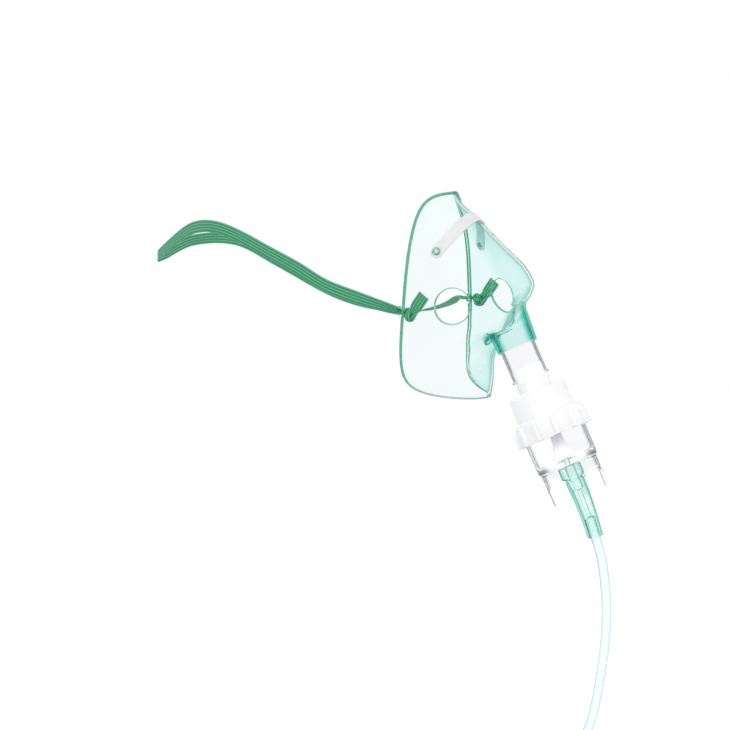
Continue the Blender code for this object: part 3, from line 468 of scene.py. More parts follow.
def shell_point(place, angle):
    """A point of the shell's outer face: place runs from the lip, 0, to the spout's mouth, 10."""
    if place <= LAST - 1:
        row = curve_through(SECTIONS[:-1], place)
    else:
        row = [p + (q - p) * (place - LAST + 1) for p, q in zip(SECTIONS[-2], SECTIONS[-1])]
    ridge_y, ridge_z, chin_y, chin_z, side_top, side_chin, half, taper, n_top, n_chin, q_top, q_chin = row
    upper = math.cos(angle) >= 0
    power, keel = (n_top, q_top) if upper else (n_chin, q_chin)
    reach = (abs(math.cos(angle)) ** power + abs(math.sin(angle)) ** power) ** (-1 / power)
    up = reach * math.cos(angle)
    out = min(abs(reach * math.sin(angle)), 1.0)
    middle_y = (ridge_y + chin_y) / 2 + up * (ridge_y - chin_y) / 2
    side_y = (side_top + side_chin) / 2 + up * (side_top - side_chin) / 2
    y = side_y + (1 - out ** 2) ** keel * (middle_y - side_y)
    z = (ridge_z + chin_z) / 2 + up * (ridge_z - chin_z) / 2
    return Vector((math.copysign(half * (1 - taper * up) * out, math.sin(angle)), y, z))


print("shell from", [round(v) for v in shell_point(0, 0)], "to the spout", [round(v) for v in shell_point(10, 0)])

# %% [markdown]
# ## The shell
# A shell like this could be pushed and pulled from a sphere, but its form is known section by
# section. So a flat grid is added and rolled up: its width becomes the way round a section, and its
# height the way from lip to spout. The seam is merged, the faces are turned outwards, and Solidify
# gives the sheet its wall, with the cut edge of the wall in a second, deeper material. Where the
# spout grows out of the shell the sections meet in a crease that a mould wouldn't have. The rows
# round it are smoothed until the crease is a soft hollow.

# %% Roll a grid into the shell
AROUND, ALONG = 160, 120
ROOT_ROWS, ROOT_SMOOTHING = (7.2, 9.1), 36    # the rows round the spout's root, and how often they are smoothed


def rolled_section(u, v):
    """A section's point, by shares. Its row is kept under its place for the smoothing."""
    point = shell_point(v * LAST, 2 * math.pi * u)
    row_of[tuple(round(value, 2) for value in point)] = v * LAST
    return point


row_of = {}
bpy.ops.object.select_all(action="DESELECT")
bpy.ops.mesh.primitive_grid_add(x_subdivisions=AROUND, y_subdivisions=ALONG, size=1)
shell = bpy.context.active_object
shell.name = "mask_shell_clear"
for vertex in shell.data.vertices:
    vertex.co = rolled_section(vertex.co.x + 0.5, vertex.co.y + 0.5) * MM
face_outwards(shell, WELD)
ridge = max(shell.data.polygons, key=lambda face: -face.center.y)
if ridge.normal.y > 0:
    shell.data.flip_normals()
bpy.ops.object.mode_set(mode="EDIT")
bpy.ops.mesh.select_all(action="DESELECT")
bpy.ops.object.mode_set(mode="OBJECT")
for vertex in shell.data.vertices:
    place = row_of.get(tuple(round(value / MM, 2) for value in vertex.co), 0.0)
    vertex.select = ROOT_ROWS[0] <= place <= ROOT_ROWS[1]
bpy.ops.object.mode_set(mode="EDIT")
bpy.ops.mesh.vertices_smooth(factor=0.5, repeat=ROOT_SMOOTHING)
bpy.ops.object.mode_set(mode="OBJECT")
skin = BVHTree.FromPolygons([v.co / MM for v in shell.data.vertices],
                            [list(p.vertices) for p in shell.data.polygons])
shell.data.materials.append(mask_pvc)
shell.data.materials.append(lip_pvc)
only(shell)
wall = shell.modifiers.new("wall", "SOLIDIFY")
wall.thickness, wall.offset, wall.use_even_offset, wall.material_offset_rim = WALL * MM, -1, True, 1
bpy.ops.object.modifier_apply(modifier=wall.name)
print("shell faces:", len(shell.data.polygons))

# %% [markdown]
# ## Vents and eyelets
# Two round vents let breath out, and each strap end goes through an eyelet with a thicker pad. Pads
# and holes are cylinders that are joined to the shell or cut from it by a Boolean. What a cutter
# leaves takes the cutter's material, so the vents get deep green edges.

# %% Cut and join the shell's details
VENT_RADIUS, VENT_CENTRE, VENT_SIDES = 11.0, (-30.7, 4.3), 120
PAD_RADIUS, PAD_THICKNESS, PAD_LIFT, PAD_SIDES = 4.6, 2.6, 0.5, 48
EYELET_HOLE, EYELET_SIDES, EYELET_HEIGHT = (4.8, 4.0), 40, -1.0
EYELET_ROWS = (0.2, 0.75, 1.2)      # rows of the shell behind, at and before the eyelets
EYELET_SEARCH = (30, 150)           # degrees round the section between which the eyelet lies
CUTTER_REACH = 8                    # a cutter goes this far to both sides of the wall


def cylinder(name, matrix, radius_x, radius_y, low, high, sides, material=None):
    bpy.ops.object.select_all(action="DESELECT")
    bpy.ops.mesh.primitive_cylinder_add(vertices=sides, radius=1, depth=1)
    piece = bpy.context.active_object
    piece.name = name
    for vertex in piece.data.vertices:
        x, y, z = vertex.co
        vertex.co = (matrix @ Vector((x * radius_x, y * radius_y, low + (z + 0.5) * (high - low)))) * MM
    if material:
        piece.data.materials.append(material)
    return piece


def combine(piece, tool, operation):
    only(piece)
    modifier = piece.modifiers.new(operation, "BOOLEAN")
    modifier.operation, modifier.object, modifier.solver = operation, tool, "EXACT"
    modifier.material_mode = "TRANSFER"
    bpy.ops.object.modifier_apply(modifier=modifier.name)
    bpy.data.objects.remove(tool)


def eyelet_frame():
    """The left eyelet: on the lip, at its height, facing sideways."""
    behind, row, before = EYELET_ROWS
    low, high = [math.radians(degrees) for degrees in EYELET_SEARCH]
    for _ in range(30):
        angle = (low + high) / 2
        if shell_point(row, angle).z > EYELET_HEIGHT:
            low = angle
        else:
            high = angle
    normal = (shell_point(behind, angle) - shell_point(before, angle)).cross(Vector((0, 0, 1)))
    normal.z = 0
    return facing(normal if normal.y < 0 else -normal, shell_point(row, angle))


vent_place, vent_normal, _, _ = skin.ray_cast(Vector((0, *VENT_CENTRE)), Vector((1, 0, 0)))
vent = facing(vent_normal if vent_normal.x > 0 else -vent_normal, vent_place)
eyelet = eyelet_frame()
for eyelet_at, vent_at in ((eyelet, vent), (mirrored(eyelet), mirrored(vent))):
    pad = cylinder("pad", eyelet_at, PAD_RADIUS, PAD_RADIUS, PAD_LIFT - PAD_THICKNESS, PAD_LIFT, PAD_SIDES,
                   mask_pvc)
    combine(shell, pad, "UNION")
    for name, place, radius_x, radius_y, sides in (
            ("hole", eyelet_at, EYELET_HOLE[0] / 2, EYELET_HOLE[1] / 2, EYELET_SIDES),
            ("vent", vent_at, VENT_RADIUS, VENT_RADIUS, VENT_SIDES)):
        cutter = cylinder(name, place, radius_x, radius_y, -CUTTER_REACH, CUTTER_REACH, sides, lip_pvc)
        combine(shell, cutter, "DIFFERENCE")
only(shell)
shade_by_angle()
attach(shell, "mask")
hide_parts("mask_shell")
print("shell faces with vents:", len(shell.data.polygons))

# %% [markdown]
# ## Lip bead and vent rims
# The lip's edge is rolled into a bead about 2 mm thick, and each vent has a finer one. A torus is
# already a closed tube, so one is added and its points are laid along the edge of the shell. Neither
# bead is even: the lip's thins out under the chin, and more plastic gathers at the vents' lower back.

# %% Lay beads along the lip and the vents
LIP_BEAD, LIP_ROW, LIP_SEGMENTS = 0.95, 0.04, 320      # radius, row of the shell, steps round it
LIP_THINNING, LIP_THIN_POWER = 0.45, 6                 # how much thinner, and how narrow the thin part is
VENT_BEAD, VENT_THIN, VENT_THICKER = 0.5, 0.65, 0.75   # radius, its smallest share and what is added
VENT_THICK_AT = math.radians(125)
VENT_RAY = 12      # a ray for the vent's edge starts this far outside the shell
BEAD_SIDES = 14
RING, RING_TUBE = 2, 1     # radii of the torus before it is laid


def lay_bead(name, line_at, radius_at, segments, material):
    """A torus whose ring is laid on a closed line of points. Line and tube radius follow from the angle."""
    bpy.ops.object.select_all(action="DESELECT")
    bpy.ops.mesh.primitive_torus_add(major_segments=segments, minor_segments=BEAD_SIDES,
                                     major_radius=RING, minor_radius=RING_TUBE)
    piece = bpy.context.active_object
    piece.name = name
    line = [line_at(2 * math.pi * i / segments) for i in range(segments)]
    for vertex in piece.data.vertices:
        x, y, z = vertex.co
        index = round(math.atan2(y, x) / (2 * math.pi) * segments) % segments
        along = (line[(index + 1) % segments] - line[index - 1]).normalized()
        side = along.cross(Vector((0, 1, 0))).normalized()
        lift = side.cross(along)
        outwards = math.hypot(x, y) - RING
        radius = radius_at(2 * math.pi * index / segments)
        vertex.co = (line[index] + (side * outwards + lift * z) * radius) * MM
    piece.data.materials.append(material)
    face_outwards(piece)
    bpy.ops.object.shade_smooth()
    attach(piece, "mask")


def vent_edge(matrix):
    out = matrix.col[2].to_3d()

    def line_at(angle):
        spot = matrix @ Vector((VENT_RADIUS * math.cos(angle), VENT_RADIUS * math.sin(angle), VENT_RAY))
        return skin.ray_cast(spot, -out)[0] - out * WALL / 2
    return line_at


def lip_radius(angle):
    """The bead is thinnest under the chin, at half a turn."""
    return LIP_BEAD * (1 - LIP_THINNING * (0.5 - 0.5 * math.cos(angle)) ** LIP_THIN_POWER)


def vent_radius(side):
    """The radius of a vent's bead, by the angle: most plastic gathers at its lower back."""
    return lambda angle: VENT_BEAD * (VENT_THIN + VENT_THICKER * max(0.0, math.cos(angle + side * VENT_THICK_AT)))


lay_bead("lip_bead", lambda angle: shell_point(LIP_ROW, angle), lip_radius, LIP_SEGMENTS, lip_pvc)
lay_bead("vent_rim_left", vent_edge(vent), vent_radius(1), VENT_SIDES, vent_pvc)
lay_bead("vent_rim_right", vent_edge(mirrored(vent)), vent_radius(-1), VENT_SIDES, vent_pvc)
print("beads laid")

# %% [markdown]
# ## The fold behind the spout
# Where the spout's back turns into the chin side, the moulding gathers in a thick fold, which looks
# like a dark green hook beside the spout. It could be pushed out of the shell's own wall. A curve is
# easier to lay in the wall: each of its points has a radius, so the fold thins out at both ends.

# %% Lay the thick fold behind the spout's root
# x, y, z and radius from the fold's middle, under the chin side, to its thin end beside the spout
ROOT_FOLD = [(0, -36.7, -23.0, 0.7), (-4.4, -38.6, -20.5, 1.0), (-8.5, -43.1, -17.3, 1.4),
             (-11.3, -47.1, -14.8, 1.3), (-12.4, -50.0, -12.9, 0.2)]
FOLD_STEPS = 6       # steps from one of these rows to the next


def round_line(name, points, radii, depth, material):
    """A curve of straight steps with a round bevel, as thick as depth times each point's own radius."""
    curve = bpy.data.curves.new(name, "CURVE")
    curve.dimensions = "3D"
    line = curve.splines.new("POLY")
    line.points.add(len(points) - 1)
    for point, place, radius in zip(line.points, points, radii):
        point.co, point.radius = (*[value * MM for value in place], 1.0), radius
    curve.bevel_depth, curve.bevel_resolution, curve.use_fill_caps = depth * MM, 4, True
    curve.materials.append(material)
    piece = bpy.data.objects.new(name, curve)
    bpy.context.scene.collection.objects.link(piece)
    return piece


fold_rows = list(reversed(ROOT_FOLD)) + [(-x, y, z, radius) for x, y, z, radius in ROOT_FOLD[1:]]
fold_line = [curve_through(fold_rows, i / FOLD_STEPS) for i in range((len(fold_rows) - 1) * FOLD_STEPS + 1)]
fold = round_line("spout_root_fold", [row[:3] for row in fold_line], [row[3] for row in fold_line], 1.0, root_pvc)
only(fold)
bpy.ops.object.convert(target="MESH")
bpy.ops.object.shade_smooth()
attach(fold, "mask")
print("fold faces:", len(fold.data.polygons))

# %% [markdown]
# ## The nose clip
# The clip is a strip of soft aluminium, pressed over the shell's ridge and held by two studs. Its
# form is already right in the frame, so a copy of that mesh is merged, its edges are rounded a
# little, and it is shaded smooth.

# %% Finish the nose clip
def bevel_edges(piece, width, segments=2, angle=EDGE_ANGLE):
    only(piece)
    bevel = piece.modifiers.new("rounded edges", "BEVEL")
    bevel.width, bevel.segments, bevel.limit_method = width * MM, segments, "ANGLE"
    bevel.angle_limit = math.radians(angle)
    bevel.use_clamp_overlap = True
    bpy.ops.object.modifier_apply(modifier=bevel.name)


def copy_of_node(node, name, bevel, angle, material):
    """A merged copy of a node's mesh that stands for the node, with rounded edges."""
    piece = bpy.data.objects.new(name, frame["nodes"][node].data.copy())
    bpy.context.scene.collection.objects.link(piece)
    only(piece)
    bpy.ops.object.mode_set(mode="EDIT")
    bpy.ops.mesh.select_all(action="SELECT")
    bpy.ops.mesh.remove_doubles(threshold=WELD * MM)
    bpy.ops.mesh.tris_convert_to_quads()
    bpy.ops.object.mode_set(mode="OBJECT")
    bevel_edges(piece, bevel, angle=angle)
    shade_by_angle(angle)
    piece.data.materials.clear()
    piece.data.materials.append(material)
    return piece


clip = copy_of_node("nose_clip", "nose_clip_strip", bevel=0.2, angle=40, material=clip_aluminium)
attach(clip, "mask")
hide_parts("nose_clip")
print("clip faces:", len(clip.data.polygons))

# %% [markdown]
# ## Turned pieces
# Neck, cap, jar and jet are round about the nebuliser's axis. Such a piece is modelled as on a lathe:
# one point is extruded along its outline, the closed outline is spun round the axis, and its edges
# are rounded. The joint of the frame gives the axis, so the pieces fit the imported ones.

# %% The nebuliser's axis and a lathe
TURNED_WELD = 0.002
nebuliser = axes_at(Vector((1, 0, 0)), nebuliser_down.cross(Vector((1, 0, 0))), nebuliser_down, spout_mouth)


def turned(name, outline, steps=96, bevel=0.0):
    """Extrudes a point along a closed outline of (radius, depth) and spins it round the z axis."""
    bpy.ops.object.select_all(action="DESELECT")
    bpy.ops.mesh.primitive_plane_add(size=MM)
    piece = bpy.context.active_object
    piece.name = name
    bpy.ops.object.mode_set(mode="EDIT")
    bpy.ops.mesh.select_all(action="SELECT")
    bpy.ops.mesh.merge(type="CENTER")
    bpy.ops.transform.translate(value=(outline[0][0] * MM, 0, outline[0][1] * MM))
    back_to_start = [] if outline[0][0] == outline[-1][0] == 0 else outline[:1]
    for (r1, z1), (r2, z2) in zip(outline, outline[1:] + back_to_start):
        bpy.ops.mesh.extrude_region_move(TRANSFORM_OT_translate={"value": ((r2 - r1) * MM, 0, (z2 - z1) * MM)})
    bpy.ops.mesh.select_all(action="SELECT")
    bpy.ops.mesh.spin(steps=steps, angle=2 * math.pi, center=(0, 0, 0), axis=(0, 0, 1))
    bpy.ops.object.mode_set(mode="OBJECT")
    face_outwards(piece, TURNED_WELD)
    if bevel:
        bevel_edges(piece, bevel)
    return piece


def finish_round(piece, matrix, material, body, slot, *nodes):
    """Moves a piece from the origin to its place, shades it and puts it in the frame."""
    only(piece)
    piece.data.transform(in_metres(matrix))
    shade_by_angle()
    piece.data.materials.clear()
    piece.data.materials.append(material)
    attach(piece, body)
    if nodes:
        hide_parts(*nodes)
    print(piece.name, "faces:", len(piece.data.polygons))
    return piece


# %% [markdown]
# ## The outlet neck
# A clear tube of 22 mm joins spout and nebuliser. About a third of it sits in the spout, and the cap's
# collar meets the bead at its lower end. On a lathe it is one outline of seven points.

# %% Outlet neck
NECK_WALL, NECK_INSERT, NECK_LENGTH = 1.1, 11.0, 21.0
NECK_CHAMFER = (0.4, 0.8)                  # inwards and along, at the end in the spout
NECK_BEAD, NECK_BEAD_FROM = 0.8, (1.6, 1.3)      # its height, and where it starts and is full
neck_bore = NECK_RADIUS - NECK_WALL
neck = turned("outlet_neck_tube", [
    (neck_bore, -NECK_INSERT), (NECK_RADIUS - NECK_CHAMFER[0], -NECK_INSERT),
    (NECK_RADIUS, -NECK_INSERT + NECK_CHAMFER[1]), (NECK_RADIUS, NECK_LENGTH - NECK_BEAD_FROM[0]),
    (NECK_RADIUS + NECK_BEAD, NECK_LENGTH - NECK_BEAD_FROM[1]),
    (NECK_RADIUS + NECK_BEAD, NECK_LENGTH), (neck_bore, NECK_LENGTH)], bevel=0.15)
finish_round(neck, nebuliser, neck_polystyrene, "mask", "clear_neck", "outlet_neck")

# %% [markdown]
# ## The clip's studs
# Each end of the clip hooks over a stud that is moulded with the shell. Its head is a small button
# with a dished top, so it catches the light as a ring.

# %% Studs
STUD_AT = Vector((24.88, -15.56, 35.19))        # the left one's foot, on the shell
STUD_WAY = Vector((0.854, -0.346, 0.388))
STUD_RADIUS, STUD_HEAD, STUD_LOW, STUD_HIGH = 1.4, 2.4, 1.5, 2.6
STUD_SINK, STUD_EDGE = 0.4, 0.4                 # into the shell, and the head's chamfer
DISH_TOP, DISH_BOTTOM, DISH_DEPTH = 1.3, 0.8, 0.5
left_stud = facing(STUD_WAY, STUD_AT)
for side, place in (("left", left_stud), ("right", mirrored(left_stud))):
    stud = turned("clip_stud_" + side, [
        (0, -STUD_SINK), (STUD_RADIUS, -STUD_SINK), (STUD_RADIUS, STUD_LOW), (STUD_HEAD, STUD_LOW),
        (STUD_HEAD, STUD_HIGH - STUD_EDGE), (STUD_HEAD - STUD_EDGE, STUD_HIGH), (DISH_TOP, STUD_HIGH),
        (DISH_BOTTOM, STUD_HIGH - DISH_DEPTH), (0, STUD_HIGH - DISH_DEPTH)], steps=48)
    finish_round(stud, place, stud_vinyl, "mask", "mask_pvc")

# %% [markdown]
# ## The cap
# The white cap steps out from a narrow collar to a drum and then to a ring with twelve grip ribs. One
# rib is modelled from a cube, narrowed towards its top and rounded, and then copied round the ring.

# %% Cap with its grip ribs
SLEEVE_INSERT, SLEEVE_WALL, COLLAR_RADIUS, COLLAR_LENGTH = 8.0, 1.3, 10.4, 7.5
CAP_RADIUS, CAP_LENGTH, CAP_WALL, CAP_CHAMFER = 18.3, 17.0, 1.6, 1.2
GRIP_RADIUS, GRIP_LENGTH, GRIP_RIBS, GRIP_TURN = 21.4, 13.0, 12, math.radians(53)
RIB_HEIGHT, RIB_WIDTH, RIB_SINK, RIB_NARROWING = 2.4, 3.6, 0.8, 2 / 3
RIB_STARTS, RIB_END = (0.4, 1.2), 0.2       # below the ring's upper edge at root and top, above its lower one
JAR_RADIUS, JAR_INSERT, RUN = 19.2, 11.5, 0.35
collar = NECK_LENGTH + FIT
shoulder = collar + COLLAR_LENGTH
grip = shoulder + CAP_LENGTH
edge = grip + GRIP_LENGTH
sleeve = neck_bore - FIT
bore = sleeve - SLEEVE_WALL
jar_bore = JAR_RADIUS + RUN
cap_bore = CAP_RADIUS - CAP_WALL
jar_stop = edge - JAR_INSERT - FIT
cap = turned("nebulizer_cap_white", [
    (bore, collar - SLEEVE_INSERT), (sleeve, collar - SLEEVE_INSERT), (sleeve, collar),
    (COLLAR_RADIUS, collar), (COLLAR_RADIUS, shoulder), (CAP_RADIUS - CAP_CHAMFER, shoulder),
    (CAP_RADIUS, shoulder + CAP_CHAMFER), (CAP_RADIUS, grip - CAP_CHAMFER),
    (GRIP_RADIUS, grip), (GRIP_RADIUS, edge), (jar_bore, edge), (jar_bore, jar_stop), (cap_bore, jar_stop),
    (cap_bore, shoulder + CAP_WALL), (bore, shoulder + CAP_WALL)], bevel=0.4)
bpy.ops.object.select_all(action="DESELECT")
bpy.ops.mesh.primitive_cube_add(size=1)
rib = bpy.context.active_object
for vertex in rib.data.vertices:
    x, y, z = vertex.co
    at_top = x > 0
    reach = GRIP_RADIUS + RIB_HEIGHT if at_top else GRIP_RADIUS - RIB_SINK
    width = RIB_WIDTH * (RIB_NARROWING if at_top else 1.0)
    vertex.co = Vector((reach, y * width, grip + RIB_STARTS[at_top] if z < 0 else edge - RIB_END)) * MM
bevel_edges(rib, 0.5, segments=3, angle=20)
ribs = []
for index in range(GRIP_RIBS):
    other = rib.copy()
    other.data = rib.data.copy()
    bpy.context.scene.collection.objects.link(other)
    other.data.transform(Matrix.Rotation(GRIP_TURN + 2 * math.pi * index / GRIP_RIBS, 4, "Z"))
    ribs.append(other)
bpy.data.objects.remove(rib)
only(cap)
for other in ribs:
    other.select_set(True)
bpy.ops.object.join()
finish_round(cap, nebuliser, cap_polypropylene, "mask", "white_cap", "nebulizer_cap")

# %% [markdown]
# ## The jar
# The clear jar holds the liquid. Its floor rises into a nozzle, and below it a skirt with four arched
# windows guards the spigot that takes the tube. The outline is turned, and then two arched cutters go
# right through the skirt, so that each opens two windows.

# %% Jar
JAR_WALL, JAR_DEPTH, FLOOR = 1.3, 16.6, 2.2
SKIRT_RADIUS, SKIRT_LENGTH, SKIRT_DRAFT = 17.9, 20.5, 0.3
WINDOW_WIDTH, WINDOW_HEIGHT, ARCH_RISE = 17.0, 14.0, 5
NOZZLE_HEIGHT, TIP_RADIUS, BASE_RADIUS, NOZZLE_BORE = 13.0, 1.6, 4.6, 0.6
SPIGOT_RADIUS, SPIGOT_LENGTH, SPIGOT_BORE = 2.9, 14.0, 1.5
THROAT = (4.0, 2.4)                 # below the nozzle's tip, where the wide bore ends and the fine one starts
CUTTER_LENGTH, PAST_FOOT = 60, 4
rim, floor = edge - JAR_INSERT, edge + JAR_DEPTH
under, foot, tip = floor + FLOOR, floor + FLOOR + SKIRT_LENGTH, floor - NOZZLE_HEIGHT
inner = JAR_RADIUS - JAR_WALL
skirt_inner = SKIRT_RADIUS - JAR_WALL
spigot_end = under + SPIGOT_LENGTH
jar = turned("nebulizer_jar_clear", [
    # the wall and the step to the skirt
    (inner, rim), (JAR_RADIUS, rim), (JAR_RADIUS, floor), (JAR_RADIUS - 0.4, under),
    # the skirt, drawn in towards its foot
    (SKIRT_RADIUS, under + 0.8), (SKIRT_RADIUS - SKIRT_DRAFT, foot), (skirt_inner - SKIRT_DRAFT, foot),
    (skirt_inner, under),
    # the spigot with its narrowed end, and the bore up to the nozzle's fine hole
    (SPIGOT_RADIUS, under), (SPIGOT_RADIUS - 0.2, spigot_end - 2), (SPIGOT_RADIUS - 0.7, spigot_end),
    (SPIGOT_BORE, spigot_end), (SPIGOT_BORE, tip + THROAT[0]), (NOZZLE_BORE, tip + THROAT[1]),
    (NOZZLE_BORE, tip),
    # the nozzle and the hollow floor, which rises to the wall in three steps
    (TIP_RADIUS, tip), (BASE_RADIUS, floor - 1.0), (BASE_RADIUS + 1.0, floor), (inner - 2.5, floor - 0.4),
    (inner - 0.6, floor - 1.4), (inner, floor - 3.5)], bevel=0.2)
# The jar is clear between grey edges, and its floor is a grey band, because the eye looks along it
jar_polystyrene = clear_plastic(
    "polystyrene jar, moulded, clear", "#fafafb", "#b4b8bd", "#6c7278", 0.05, 1.12,
    turns=(0.50, 0.62, 0.74), mirror="#b8bbbe", level=nebuliser_down,
    zone=(band_share(floor - 0.4, under, 0.6, nebuliser_down, spout_mouth),
          ("#fafafb", "#8d9094", "#66696d"), (0.18, 0.32, 0.60)))
low, high = foot - WINDOW_HEIGHT + ARCH_RISE, foot + PAST_FOOT
for index in range(2):
    turn = Matrix.Rotation(GRIP_TURN + math.radians(45 + 90 * index), 4, "Z")
    lying = turn @ Matrix.Translation((0, 0, low)) @ Matrix.Rotation(math.pi / 2, 4, "Y")
    arch = cylinder("arch", lying, ARCH_RISE, WINDOW_WIDTH / 2, -CUTTER_LENGTH / 2, CUTTER_LENGTH / 2, 64)
    combine(jar, arch, "DIFFERENCE")
    bpy.ops.object.select_all(action="DESELECT")
    bpy.ops.mesh.primitive_cube_add(size=1)
    opening = bpy.context.active_object
    for vertex in opening.data.vertices:
        x, y, z = vertex.co
        spot = Vector((x * CUTTER_LENGTH, y * WINDOW_WIDTH, (low + high) / 2 + z * (high - low)))
        vertex.co = (turn @ spot) * MM
    combine(jar, opening, "DIFFERENCE")
finish_round(jar, nebuliser, jar_polystyrene, "jar", "clear_jar", "nebulizer_jar")

# %% [markdown]
# ## The jet
# A white sleeve stands over the nozzle with a narrow gap, which lifts the liquid into the jet of gas.
# Its roof breaks the jet into a fine mist. It is turned like the rest, and it rides on the jar.

# %% Jet sleeve
JET_WALL, JET_GAP, JET_ROOF_OVER, BAFFLE = 1.1, 0.7, 10.0, 1.4
JET_EDGE, JET_TAPER, JET_FOOT = 0.5, 0.4, 1.6
roof = tip - JET_ROOF_OVER
in_tip, in_base, sleeve_foot = TIP_RADIUS + JET_GAP, BASE_RADIUS + JET_GAP, floor - JET_FOOT
out_tip = in_tip + JET_WALL
jet = turned("jet_sleeve_white", [
    (0, roof), (out_tip - JET_EDGE, roof), (out_tip, roof + JET_EDGE), (out_tip + JET_TAPER, tip),
    (in_base + JET_WALL, sleeve_foot), (in_base, sleeve_foot), (in_tip, tip), (in_tip, roof + BAFFLE),
    (0, roof + BAFFLE)], steps=64)
finish_round(jet, nebuliser, jet_white_painted_brighter, "jar", "white_jet", "jet_sleeve")

# %% [markdown]
# ## The funnel connectors
# Both ends of the tube carry the same soft green connector: a short head with two lobes, a groove, and
# a long body with eight flutes for grip. It is turned plain, and then its points are moved in or out
# by their angle round the axis. The upper one also bends a little under the tube's weight.

# %% Connectors
LOBE_REACH, LOBE_POWER, HEAD_RADIUS, HEAD_LENGTH = 7.2, 6, 5.6, 8.0
BODY_RADIUS, BODY_END_RADIUS, BODY_LENGTH, BODY_SPANS = 6.0, 4.8, 38.0, 24
GROOVE = 1.6                # from the head to where the body is full
FLUTES, FLUTE_DEPTH, SOCKET_DEPTH = 8, 0.45, 12.0
OUTER_SKIN = 1.2            # points this far outside the socket's wall belong to the outer face
TUBE_DIAMETER = 6.0
CONNECTOR_SAG = math.radians(9)
connector_length = HEAD_LENGTH + BODY_LENGTH
bend_start = SPIGOT_LENGTH + 1.0


def bent_axis(depth, bend):
    """The connector's middle line, straight round the spigot and evenly bent below it."""
    if depth <= bend_start:
        return Matrix.Translation((0, 0, depth))
    run = depth - bend_start
    angle = bend * run / (connector_length - bend_start)
    place = Matrix.Translation((0, -run * math.sin(angle / 2), bend_start + run * math.cos(angle / 2)))
    return place @ Matrix.Rotation(angle, 4, "X")


def funnel_connector(name, bend, lobe_turn, matrix, *nodes):
    socket = TUBE_DIAMETER / 2 + FIT
    spigot_bore = SPIGOT_RADIUS + FIT
    socket_floor = connector_length - SOCKET_DEPTH
    # the head with its rounded edges, the groove, the body, and back through the socket and the bore
    outline = [(HEAD_RADIUS - 0.5, 0.0), (HEAD_RADIUS, 0.6), (HEAD_RADIUS, HEAD_LENGTH / 2),
               (HEAD_RADIUS, HEAD_LENGTH - 0.8), (HEAD_RADIUS - 0.4, HEAD_LENGTH),
               (BODY_RADIUS - 0.9, HEAD_LENGTH + 0.5)]
    outline += [(BODY_RADIUS + (BODY_END_RADIUS - BODY_RADIUS) * step / BODY_SPANS,
                 HEAD_LENGTH + GROOVE + (BODY_LENGTH - GROOVE) * step / BODY_SPANS)
                for step in range(BODY_SPANS + 1)]
    outline += [(socket, connector_length), (socket, socket_floor), (SPIGOT_BORE, socket_floor - 1),
                (SPIGOT_BORE, bend_start + 1), (spigot_bore, bend_start), (spigot_bore, 0.0)]
    piece = turned(name, outline)
    for vertex in piece.data.vertices:
        place = vertex.co / MM
        radius, angle = math.hypot(place.x, place.y), math.atan2(place.y, place.x)
        if radius > socket + OUTER_SKIN and place.z <= HEAD_LENGTH + 0.1:
            radius += (LOBE_REACH - HEAD_RADIUS) * abs(math.cos(angle - lobe_turn)) ** LOBE_POWER
        elif radius > socket + OUTER_SKIN and place.z > HEAD_LENGTH + 1:
            radius -= FLUTE_DEPTH * (0.5 - 0.5 * math.cos(FLUTES * angle))
        spot = Vector((radius * math.cos(angle), radius * math.sin(angle), 0))
        vertex.co = (bent_axis(place.z, bend) @ spot) * MM
    return finish_round(piece, matrix, funnel_vinyl, "mask", "green_vinyl", *nodes)


upper_connector = nebuliser @ Matrix.Translation((0, 0, under + FIT))
funnel_connector("tube_connector_green", CONNECTOR_SAG, GRIP_TURN, upper_connector, "tube_connector")

far_mount = [m for m in frame["record"]["mounts"] if m["name"] == "gas_outlet_end"][0]
far_low, far_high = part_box("source_connector")
far_axis = -Vector(far_mount["axis"])
far_place = Vector(((far_low.x + far_high.x) / 2, far_mount["pos_m"][1], far_mount["pos_m"][2])) / MM
far_connector = axes_at(Vector((0, 0, 1)).cross(far_axis), Vector((0, 0, 1)), far_axis, far_place)
source = funnel_connector("source_connector_green", 0.0, 0.0, far_connector, "source_connector")

# %% [markdown]
# ## The strap
# The strap is one length of flat elastic, pulled through both eyelets and knotted there, with a short
# end left over. Cloth simulation would lose its ribs, so a grid is laid straight along its route, with
# the ribs in its section. The route is the one that the frame's solid follows.

# %% Route of the strap
STRAP_WIDTH, STRAP_THICKNESS, STRAP_RIBS = 7.8, 1.1, 4
STRAP_NECK, KNOT = (3.0, 2.0), (7.0, 5.0)             # width and thickness in the eyelet and in the knot
INSIDE_END, INSIDE_SHIFT, INSIDE_NECK, OUTSIDE_NECK = 9, Vector((3.2, 0, 0)), 4, 3.4    # along the eyelet
KNOT_OUT, KNOT_SHIFT, KNOT_BACK, KNOT_ALONG = 7.6, Vector((0.9, 0, -2.0)), 1.5, 2.0
STUB_WAY, STUB_LENGTH = Vector((0.0, -0.60, 0.80)), 17.0
STUB_GATHERED, STUB_FLAT = (5.0, 0.8, 1.6), 8.0       # from the knot, with shares of width and thickness
# x, y, z and the twist in degrees, from the right eyelet round to the left one
STRAP_ROUTE = [
    (-51, 24.5, 6.7, 0), (-61, 43, 14.5, 0), (-69.5, 58, 25, 0), (-75, 76, 34, 0),
    (-78, 94, 42, 0), (-80, 110, 47, 0), (-82, 124, 47.5, 0), (-78, 142, 42, 0),
    (-63, 178, 24.5, 0), (-38, 197, 21, 0), (0, 204, 27, 0), (38, 197, 24, 0),
    (63, 178, 7, 0), (78, 145, -12, 0), (80, 112, -20, 30), (76, 80, -21.5, 86),
    (65, 50, -16.5, 86), (52, 25, -8.5, 86),
]
wide, thick = STRAP_WIDTH / 2, STRAP_THICKNESS / 2


